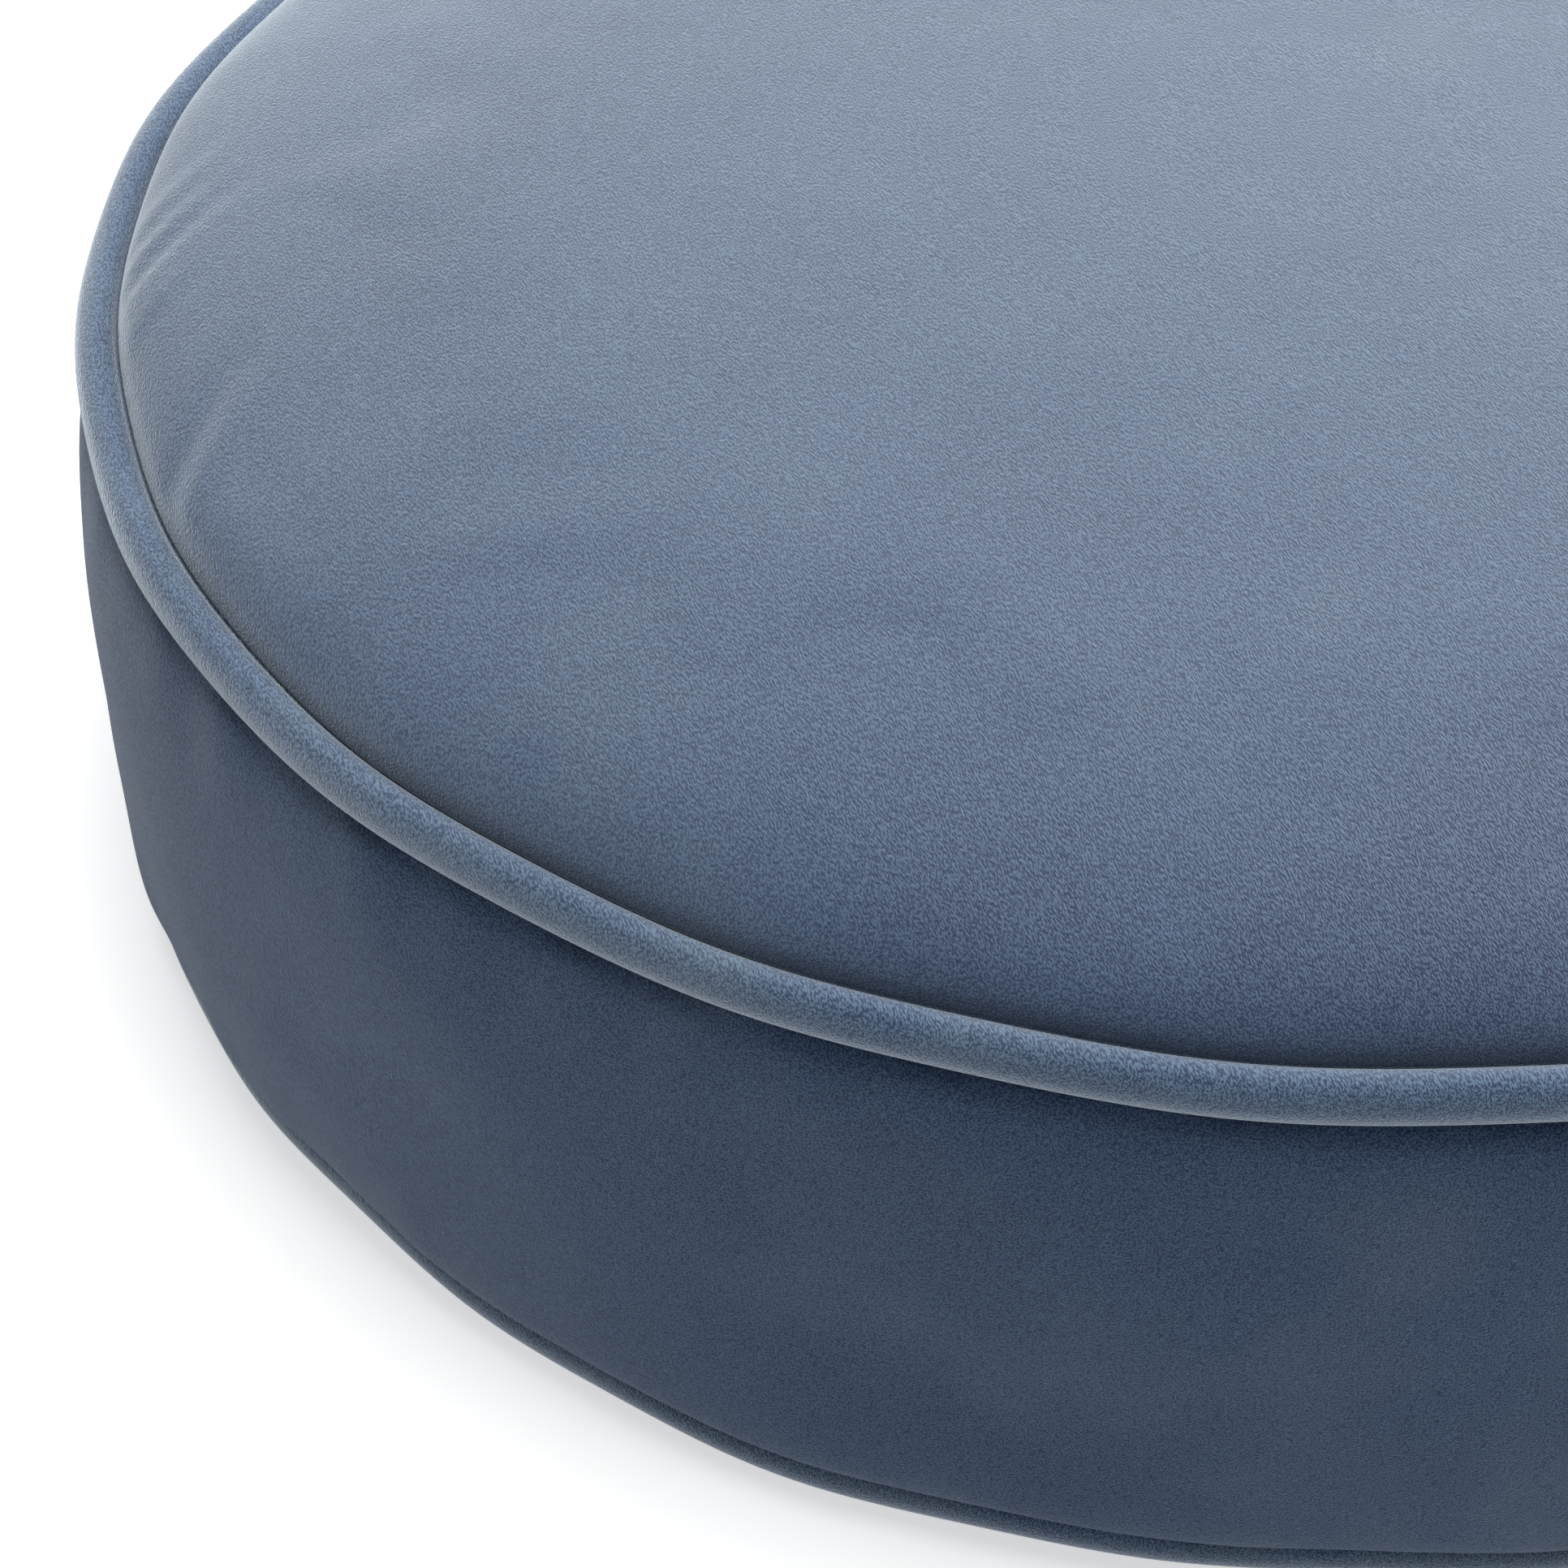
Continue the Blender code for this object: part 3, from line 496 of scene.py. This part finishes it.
def piping_path(level, steps=20):
    """Outline of the folded strip: round the roll, in along one ply, back and round the bore."""
    outer_turn = math.pi - math.asin((slit + velvet_thickness) / piping_radius)
    inner_turn = math.pi - math.asin(slit / cord_bore)
    path = []
    for i in range(steps + 1):
        turn = -outer_turn + 2 * outer_turn * i / steps
        path.append((seam_radius + piping_radius * math.cos(turn), level + piping_radius * math.sin(turn)))
    inner_edge = stitch_radius - turned_in
    path += [(inner_edge, level + slit + velvet_thickness), (inner_edge, level + slit)]
    for i in range(steps // 2 + 1):
        turn = inner_turn - 2 * inner_turn * i / (steps // 2)
        path.append((seam_radius + cord_bore * math.cos(turn), level + cord_bore * math.sin(turn)))
    path += [(inner_edge, level - slit), (inner_edge, level - slit - velvet_thickness)]
    return path + path[:1]


# A lit copy of the pile: its tips are painted much greyer, a painted sheen.
pile_on_roll = velvet("velvet_on_piping", 0.95, 1.7)
for place, level in (("top", upper_seam), ("bottom", lower_seam)):
    roll = spun(f"{place}_piping", piping_path(level), steps=420)
    settle(roll)
    brush_and_paint_sheen(roll, 0.4)
    roll.data.materials.append(pile_on_roll)
    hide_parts(f"{place}_piping_cover")
    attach(roll, "cushion")
    outline = piping_path(level)


# --- Underside panel ----------------------------------------------------------------------------
# The same round of velvet as the seat. It lies flat where the cushion rests, and curves up to the
# lower seam.


def curve_up(start, end, steps):
    """From flat at one (radius, height) point, round to upright at the other."""
    (inner, low), (outer, high) = start, end
    turns = [math.pi / 2 * i / steps for i in range(steps + 1)]
    return [(inner + (outer - inner) * math.sin(t), low + (high - low) * (1 - math.cos(t))) for t in turns]


foot_radius = seam_radius - 28 * MM
lower_ply = lower_seam - ply_height
foot_path = [(foot_radius * share, 0.0) for share in (0.0, 0.35, 0.7, 0.92)]
foot_path += curve_up((foot_radius, 0.0), (stitch_radius, lower_ply), 12)
foot_path += [(stitch_radius - turned_in / 2, lower_ply), (stitch_radius - turned_in, lower_ply)]
underside = spun("underside_panel", foot_path, steps=360)
settle(underside)
thicken(underside, velvet_thickness)
brush_and_paint_sheen(underside, 0.3)
underside.data.materials.append(shaded_pile)
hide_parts("bottom_panel")
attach(underside, "cushion")


# --- Back of the side ---------------------------------------------------------------------------
# Two narrower strips of the velvet meet over the zip. Each turns under in a folded lip, held down by
# one row of topstitching. Towards the upright seams the lips close over the zip's ends.

tape_half = 0.3 * MM  # half of the zip tape's thickness
tape_face = 199.3 * MM  # its outer face as drawn
tape_radius = (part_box("zip_tape_upper")[1].y + tape_face) / 2 - tape_half
lip_radius = tape_radius + 1.1 * MM
lip_edge = 4.8 * MM
closed_gap = 0.3 * MM
fold_radius = velvet_thickness + 0.15 * MM
hem = 9.2 * MM
setback = side_radius(middle) - (lip_radius + 2 * fold_radius)


def valley(height):
    """Share of the setback that the side has at this height: 1 at the lip, 0 on the crest."""
    share = np.clip((np.abs(height - middle) - lip_edge) / (22 * MM), 0.0, 1.0)
    return (1 - share) ** 2 * (1 + 2 * share)


def close_lips(piece):
    """Past the ends of the chain the strips rise to the plain side and their lips come together."""
    points = points_of(piece)
    angle, radius = polar(points)
    height = points[:, 2]
    fade = ease(np.abs(angle - back), math.radians(51), math.radians(59.5)) * valley(height)
    widen(points, 1 + fade * setback / radius)
    points[:, 2] -= np.sign(height - middle) * fade * (lip_edge - closed_gap)
    put_points(piece, points)


def tuck_ends(piece, start, end):
    """Rolls the last of the cloth in where it is sewn to its neighbour along an upright seam."""
    points = points_of(piece)
    angle, radius = polar(points)
    angle = np.mod(angle - start, 2 * math.pi) + start
    to_end = np.minimum(np.abs(angle - start), np.abs(end - angle)) * radius
    roll = (1 - np.clip(to_end / (3 * MM), 0.0, 1.0)) ** 2
    widen(points, 1 - roll * ease(radius, seam_radius - 4 * MM, seam_radius) * 0.8 * MM / radius)
    put_points(piece, points)


fold_height = middle + lip_edge + fold_radius


def strip_path(way):
    """The strip above the zip, or with way at -1 the one below, from its hem to its seam."""
    path = [(lip_radius, fold_height + hem - fold_radius), (lip_radius, fold_height + hem / 2)]
    for i in range(9):
        turn = -math.pi + math.pi * i / 8
        height = fold_height + fold_radius * math.sin(turn)
        path.append((lip_radius + fold_radius + fold_radius * math.cos(turn), height))
    if way < 0:
        path = [(radius, 2 * middle - height) for radius, height in path]
    seam, leave = (upper_seam, upper_leave) if way > 0 else (lower_seam, lower_leave)
    start = middle + way * (fold_height - middle)
    rise = rise_to(start, seam - way * hug_radius * math.sin(leave), 20)
    path += [(side_radius(z) - setback * float(valley(z)), z) for z in rise]
    return path + hug(seam, leave, way)


strip_half = zip_half - 0.2 * MM / bulge
strip_ends = (back - strip_half, back + strip_half)

for place, way in (("upper", 1), ("lower", -1)):
    strip = spun(f"back_strip_{place}", strip_path(way), strip_ends[0], 2 * strip_half, steps=240)
    pucker(strip, 0.25 * MM, 0.7)
    thicken(strip, velvet_thickness)
    close_lips(strip)
    tuck_ends(strip, *strip_ends)
    settle(strip)
    brush_and_paint_sheen(strip, 0.3)
    strip.data.materials.append(shaded_pile)
    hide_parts(f"side_back_{place}")
    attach(strip, "cushion")


def stitch_row(name, radius, height, start, end, pitch=3.6 * MM):
    """One stitch, rounded where it dives into the cloth, repeated at even steps round the axis."""
    bpy.ops.object.select_all(action="DESELECT")
    place = (radius * math.cos(start), radius * math.sin(start), height)
    size = (0.3 * MM, 1.35 * MM, 0.3 * MM)  # half of a stitch, each way
    bpy.ops.mesh.primitive_uv_sphere_add(segments=8, ring_count=5, radius=1, location=place, scale=size)
    stitch = bpy.context.object
    stitch.name = name
    stitch.data.name = name
    stitch.rotation_euler.z = start
    bpy.ops.object.transform_apply(location=True, rotation=True, scale=True)
    step = bpy.data.objects.new("stitch_step", None)
    bpy.context.scene.collection.objects.link(step)
    step.rotation_euler.z = pitch / radius
    bpy.context.view_layer.update()
    count = int((end - start) * radius / pitch)
    spacing = {"use_relative_offset": False, "use_object_offset": True, "offset_object": step}
    apply_modifier(stitch, "ARRAY", count=count, **spacing)
    bpy.data.objects.remove(step)
    bpy.ops.object.shade_smooth()
    return stitch


navy_thread = plain_material("navy_thread", {"Roughness": 0.55, "Specular IOR Level": 0.3})
twisted = {"Scale": 900, "Distortion": 1.5, "Vector": own_space(navy_thread)}
plies = add_node(navy_thread, "TexWave", twisted, bands_direction="DIAGONAL").outputs["Fac"]
colour_by(navy_thread, plies, (0.0, (0.021, 0.027, 0.051)), (1.0, (0.042, 0.054, 0.102)))
relief(navy_thread, plies, 0.5, 0.1 * MM)

stitched_in = 6.5 * MM  # from the fold to the row of topstitching
for place, way in (("upper", 1), ("lower", -1)):
    height = fold_height + stitched_in
    radius = side_radius(height) - setback * float(valley(height)) + 0.02 * MM
    row = stitch_row(f"topstitching_{place}", radius, middle + way * (height - middle), *strip_ends)
    close_lips(row)
    settle(row)
    row.data.materials.append(navy_thread)
    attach(row, "cushion")


# --- Zip tapes ----------------------------------------------------------------------------------
# Two woven polyester tapes, sewn behind the folded lips, carry the chain. A row of chain stitch
# holds each coil down.

tape_width = 12.5 * MM
chain_slit = 1.8 * MM
coil_width = 2.2 * MM


def unroll(piece, radius):
    """A UV map in metres: along the circle, and up."""
    mesh = piece.data
    corners = np.empty(len(mesh.loops), int)
    mesh.loops.foreach_get("vertex_index", corners)
    places = points_of(piece)[corners]
    angle = polar(places)[0]
    layer = mesh.uv_layers.new(name="unrolled")
    layer.data.foreach_set("uv", np.column_stack([angle * radius, places[:, 2]]).ravel())


def woven(name, dark, light, across, along, sheen=0.2, roughness=0.6):
    """A plain weave: two crossed sets of threads from the piece's own unrolled map."""
    made = plain_material(name, {"Roughness": roughness, "Sheen Weight": sheen})
    unrolled = add_node(made, "TexCoord", {}).outputs["UV"]
    threads = []
    for direction, spacing in (("X", across), ("Y", along)):
        waves = {"Scale": math.pi / 10 / spacing, "Distortion": 0.4, "Detail Scale": 3, "Vector": unrolled}
        threads.append(add_node(made, "TexWave", waves, bands_direction=direction).outputs["Fac"])
    crossed = add_node(made, "Math", dict(enumerate(threads)), operation="MULTIPLY").outputs["Value"]
    colour_by(made, crossed, (0.0, dark), (1.0, light))
    relief(made, crossed, 0.5, 0.1 * MM)
    return made


tape_weave = woven("zip_tape_weave", (0.012, 0.016, 0.03), (0.045, 0.058, 0.1), 0.7 * MM, 0.45 * MM)
tape_sweep_half = zip_half - 0.4 * MM / bulge
chain_half = 172 * MM / tape_radius
coil_half = chain_half - 1.5 * MM / tape_radius  # the coils stop short, where the end stops sit
coil_ends = (back - coil_half, back + coil_half)
for place, way in (("upper", 1), ("lower", -1)):
    edges = [chain_slit / 2 + tape_width * share for share in (1.0, 0.9, 0.5, 0.25, 0.0)]
    path = [(tape_radius + tape_half, middle + way * edge) for edge in edges]
    tape = spun(f"woven_tape_{place}", path, back - tape_sweep_half, 2 * tape_sweep_half, steps=160)
    thicken(tape, 2 * tape_half)
    unroll(tape, tape_radius)
    tape.data.materials.append(tape_weave)
    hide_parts(f"zip_tape_{place}")
    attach(tape, "cushion")
    height = middle + way * (chain_slit / 2 + coil_width + 0.55 * MM)
    row = stitch_row(f"tape_stitches_{place}", tape_radius + tape_half, height, *coil_ends, 2 * MM)
    row.data.materials.append(navy_thread)
    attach(row, "cushion")


# --- Zip coils ----------------------------------------------------------------------------------
# Each row is one nylon wire wound into a flat spiral. Its heads face the other row across the slit
# that the slider's post runs in.

wire_radius = 0.26 * MM
coil_pitch = 1.5 * MM
wire_steps = 8  # straight pieces of wire in each turn
coil_low, coil_high = chain_slit / 2 + wire_radius, chain_slit / 2 + coil_width - wire_radius
coil_near, coil_far = 0.6 * MM + wire_radius, 2.6 * MM - wire_radius


def vary_roughness(made, source, least, most):
    spread = add_node(made, "MapRange", {"Value": source, "To Min": least, "To Max": most})
    feed_shader(made, "Roughness", spread.outputs["Result"])


navy_nylon = plain_material("navy_nylon", {"Specular IOR Level": 0.6, "Coat Weight": 0.2})
haze = add_node(navy_nylon, "TexNoise", {"Scale": 700, "Vector": own_space(navy_nylon)}).outputs["Fac"]
colour_by(navy_nylon, haze, (0.0, (0.014, 0.019, 0.036)), (1.0, (0.036, 0.047, 0.082)))
vary_roughness(navy_nylon, haze, 0.25, 0.45)

turns = int(2 * coil_half * tape_radius / coil_pitch)
for place, way in (("upper", 1), ("lower", -1)):
    wire = bpy.data.curves.new(f"nylon_coil_{place}", "CURVE")
    wire.dimensions = "3D"
    wire.bevel_depth = wire_radius
    wire.bevel_resolution = 1
    wire.use_fill_caps = True
    run = wire.splines.new("POLY")
    run.points.add(turns * wire_steps)
    for i, point in enumerate(run.points):
        turn = 2 * math.pi * i / wire_steps
        angle = coil_ends[0] + coil_pitch * i / wire_steps / tape_radius
        height = (coil_low + coil_high) / 2 + (coil_high - coil_low) / 2 * math.cos(turn)
        depth = (coil_near + coil_far) / 2 + (coil_far - coil_near) / 2 * math.sin(turn)
        radius = tape_radius + depth
        point.co = (radius * math.cos(angle), radius * math.sin(angle), middle + way * height, 1)
    coil = bpy.data.objects.new(f"nylon_coil_{place}", wire)
    bpy.context.scene.collection.objects.link(coil)
    select_only(coil)
    bpy.ops.object.convert(target="MESH")
    bpy.ops.object.shade_smooth()
    coil.data.materials.append(navy_nylon)
    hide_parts(f"zip_coil_{place}")
    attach(coil, "cushion")


# --- Slider, pull tab and end stops -------------------------------------------------------------
# Die-cast slider and pull and crimped stops, plated a dark nickel and tumbled, so every edge is
# slightly rounded and the plating is a little cloudy.

dark_nickel = plain_material("dark_nickel", {"Metallic": 1.0})
metal_space = own_space(dark_nickel)
patches = {"Scale": 260, "Detail": 4, "Vector": metal_space}
clouding = add_node(dark_nickel, "TexNoise", patches).outputs["Fac"]
colour_by(dark_nickel, clouding, (0.0, (0.14, 0.14, 0.1505)), (1.0, (0.2, 0.2, 0.215)))
scuffs = add_node(dark_nickel, "TexNoise", {"Scale": 2200, "Vector": metal_space}).outputs["Fac"]
vary_roughness(dark_nickel, scuffs, 0.22, 0.5)
relief(dark_nickel, scuffs, 0.15, 0.05 * MM)
metal_nodes = ["zip_slider", "zip_pull_tab", "zip_top_stop_upper", "zip_top_stop_lower", "zip_bottom_stop"]
for name in metal_nodes:
    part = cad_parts[name]
    part.data.materials.clear()
    part.data.materials.append(dark_nickel)
    weld = part.modifiers.new("weld", "WELD")
    weld.merge_threshold = MM / 200
    rounding = part.modifiers.new("rounding", "BEVEL")
    rounding.width = 0.12 * MM
    rounding.segments = 2
    rounding.limit_method = "ANGLE"
    rounding.angle_limit = math.radians(35)


# --- Care label ---------------------------------------------------------------------------------
# A blank white satin tab, caught in the upright seam beside the slider. Its heat-cut free corner
# lifts a little from the pile.

label_length, label_height = 25 * MM, 18 * MM
corner_lift = 1.6 * MM
label_start = back + zip_half - 0.5 * MM / bulge
heights = [middle - label_height / 2 + label_height * i / 12 for i in range(13)]
label_path = [(side_radius(z) + 0.7 * MM, z) for z in heights]
label = spun("satin_label", label_path, label_start, label_length / bulge, steps=20)
points = points_of(label)
angle, radius = polar(points)
free = np.clip((np.mod(angle, 2 * math.pi) - label_start) * bulge / label_length, 0, 1)
curl = 0.5 + 0.5 * np.sin(3 * free + (points[:, 2] - middle) / label_height * 3)
widen(points, 1 + corner_lift * free**2 * curl / radius)
put_points(label, points)
thicken(label, 0.25 * MM)
unroll(label, bulge)
satin = woven("label_satin", (0.72, 0.71, 0.68), (0.9, 0.89, 0.87), 0.25 * MM, 0.12 * MM, 0.5, 0.35)
label.data.materials.append(satin)
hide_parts("care_label")
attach(label, "cushion")


# --- Piping cords -------------------------------------------------------------------------------
# Each roll is filled by a cotton cord of three strands laid together.

cord_radius = 2.3 * MM
lay_turns = 105  # turns that the three strands make in the whole round

cotton_strands = plain_material("cotton_strands", {"Roughness": 0.85, "Sheen Weight": 0.4})
hairs = {"Scale": 900, "Detail": 5, "Vector": own_space(cotton_strands)}
fuzz = add_node(cotton_strands, "TexNoise", hairs).outputs["Fac"]
colour_by(cotton_strands, fuzz, (0.3, (0.5, 0.45, 0.36)), (0.7, (0.8, 0.76, 0.66)))
relief(cotton_strands, fuzz, 0.6, 0.2 * MM)

for place, level in (("top", upper_seam), ("bottom", lower_seam)):
    ring = [2 * math.pi * i / 24 for i in range(25)]
    path = [(seam_radius + cord_radius * math.cos(a), level + cord_radius * math.sin(a)) for a in ring]
    cord = spun(f"twisted_cord_{place}", path, steps=1260)
    points = points_of(cord)
    angle, radius = polar(points)
    out = radius - seam_radius
    up = points[:, 2] - level
    around = np.arctan2(up, out) + lay_turns * angle / 3
    strand = 0.8 + 0.2 * np.abs(np.cos(1.5 * around))
    widen(points, (seam_radius + out * strand) / (seam_radius + out))
    points[:, 2] = level + up * strand
    put_points(cord, points)
    settle(cord)
    cord.data.materials.append(cotton_strands)
    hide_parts(f"{place}_piping_cord")
    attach(cord, "cushion")


# --- Foam core ----------------------------------------------------------------------------------
# A round of cream polyurethane foam with lightly rounded rims. Its open cells show on every face.

foam_low, foam_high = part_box("foam_core")
foam_radius = foam_high.x
foam_rounding = 4 * MM

foam_feel = {"Roughness": 0.95, "Subsurface Weight": 0.1, "Subsurface Scale": 2 * MM}
cream_foam = plain_material("cream_foam", foam_feel)
cells = {"Scale": 900, "Vector": own_space(cream_foam)}
pits = add_node(cream_foam, "TexVoronoi", cells).outputs["Distance"]
colour_by(cream_foam, pits, (0.15, (0.45, 0.38, 0.24)), (0.6, (0.8, 0.72, 0.52)))
relief(cream_foam, pits, 0.8, 0.4 * MM)

foam_path = [(0.0, foam_low.z), (foam_radius / 2, foam_low.z)]
for corner, start in ((foam_low.z + foam_rounding, -math.pi / 2), (foam_high.z - foam_rounding, 0.0)):
    for i in range(7):
        turn = start + math.pi / 2 * i / 6
        radius = foam_radius - foam_rounding + foam_rounding * math.cos(turn)
        foam_path.append((radius, corner + foam_rounding * math.sin(turn)))
foam_path += [(foam_radius / 2, foam_high.z), (0.0, foam_high.z)]
foam = spun("foam_round", foam_path, steps=200)
settle(foam)
foam.data.materials.append(cream_foam)
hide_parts("foam_core")
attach(foam, "cushion")


# --- Wadding ------------------------------------------------------------------------------------
# Bonded polyester fibre round the foam: a dome above, a shallow pad below and a band round the
# side. The band is pressed in where the zip runs.

case_cloth = 0.6 * MM
case_room = 0.8 * MM  # between the pad's case and the cover's turned-in edges
cover_room = 0.4 * MM  # between the case and the cover above and below
foam_room = 0.3 * MM
neck_radius = stitch_radius - turned_in + 0.15 * MM - case_room
pad_reach = (upper_seam - lower_seam) / 2 - ply_height - velvet_thickness - case_room
pad_rise = bulge - velvet_thickness - 1.0 * MM - neck_radius
inside_case = case_cloth + 0.35 * MM
pressed_in = 9 * MM


def pad_side(height, depth=0.0):
    """Outer radius of the pad's side at a height, less a depth."""
    share = min(abs(height - middle) / pad_reach, 1.0)
    return neck_radius + pad_rise * math.sqrt(1 - share**4) - depth


def press_in(piece):
    """The zip and its slider press the pad in along the back of the side."""
    points = points_of(piece)
    angle, radius = polar(points)
    level = 1 - ease(np.abs(points[:, 2] - middle), 6 * MM, 33.4 * MM)
    near = 1 - ease(np.abs(angle - back), zip_half + math.radians(1), zip_half + math.radians(9))
    outer = ease(radius, foam_radius + 0.5 * MM, foam_radius + 4 * MM)
    widen(points, 1 - pressed_in * level * near * outer / np.maximum(radius, MM))
    put_points(piece, points)


white_fibre = plain_material("white_fibre", {"Roughness": 0.9, "Sheen Weight": 0.6})
crimped = {"Scale": 320, "Detail": 8, "Distortion": 2.5, "Vector": own_space(white_fibre)}
fluff = add_node(white_fibre, "TexNoise", crimped).outputs["Fac"]
colour_by(white_fibre, fluff, (0.3, (0.62, 0.63, 0.65)), (0.65, (0.88, 0.89, 0.9)))
relief(white_fibre, fluff, 0.9, 0.8 * MM)

wadding_edge = 36.86 * MM
levels = [middle + wadding_edge * (i / 16) for i in range(-16, 17)]
band_radius = foam_radius + foam_room
band_side = [(pad_side(z, inside_case), z) for z in levels]
band_path = [(band_radius, levels[0]), *band_side, (band_radius, levels[-1]), (band_radius, levels[0])]

dome_edge = neck_radius - inside_case
dome_crown = crown - slack - velvet_thickness - cover_room - inside_case
dome_path = [(dome_edge * share, foam_high.z + foam_room) for share in (0.0, 0.5, 1.0)]
dome_path += domed(dome_edge, upper_seam, dome_crown, 20)

foot_level = velvet_thickness + cover_room + inside_case
under_path = [(0.0, foot_level)]
under_path += curve_up((foot_radius - 14 * MM, foot_level), (dome_edge, lower_seam), 8)
under_path += [(dome_edge * share, foam_low.z - foam_room) for share in (1.0, 0.5, 0.0)]

for name, path, node in (
    ("fibre_band", band_path, "side_wadding"),
    ("fibre_dome", dome_path, "top_wadding"),
    ("fibre_foot", under_path, "bottom_wadding"),
):
    layer = spun(name, path, steps=240)
    press_in(layer)
    settle(layer)
    layer.data.materials.append(white_fibre)
    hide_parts(node)
    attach(layer, "cushion")


# --- Inner case ---------------------------------------------------------------------------------
# The pad's own case: two cups of dark spun-bonded cloth, joined by a seam round the middle. The
# bonding leaves rows of small dimples.

bonded = plain_material("spun_bonded_cloth", {"Roughness": 0.75})
rows = {"Scale": 520, "Randomness": 0.25, "Vector": own_space(bonded)}
dimples = add_node(bonded, "TexVoronoi", rows).outputs["Distance"]
colour_by(bonded, dimples, (0.1, (0.012, 0.014, 0.02)), (0.35, (0.035, 0.04, 0.052)))
relief(bonded, dimples, 0.5, 0.2 * MM)

seam_half = 0.15 * MM  # each cup stops this far from the seam round the middle
shares = [math.sin(math.pi / 2 * i / 18) for i in range(19)]
cup_heights = [middle + seam_half + (pad_reach - seam_half) * share for share in shares]
cup_side = [(pad_side(middle + pad_reach * share), z) for share, z in zip(shares, cup_heights)]
cup_crown = crown - slack - velvet_thickness - cover_room
top_cup = cup_side + domed(neck_radius, upper_seam + case_room, cup_crown, 24)

cup_foot = velvet_thickness + cover_room
low_cup = [(0.0, cup_foot)]
low_cup += curve_up((foot_radius - 7 * MM, cup_foot), (neck_radius, lower_seam - case_room), 10)
low_cup += [(radius, 2 * middle - height) for radius, height in reversed(cup_side)]
for name, path, node in (
    ("case_top", top_cup, "inner_case_top"),
    ("case_bottom", low_cup, "inner_case_bottom"),
):
    cup = spun(name, path, steps=240)
    press_in(cup)
    settle(cup)
    thicken(cup, case_cloth)
    cup.data.materials.append(bonded)
    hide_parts(node)
    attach(cup, "cushion")
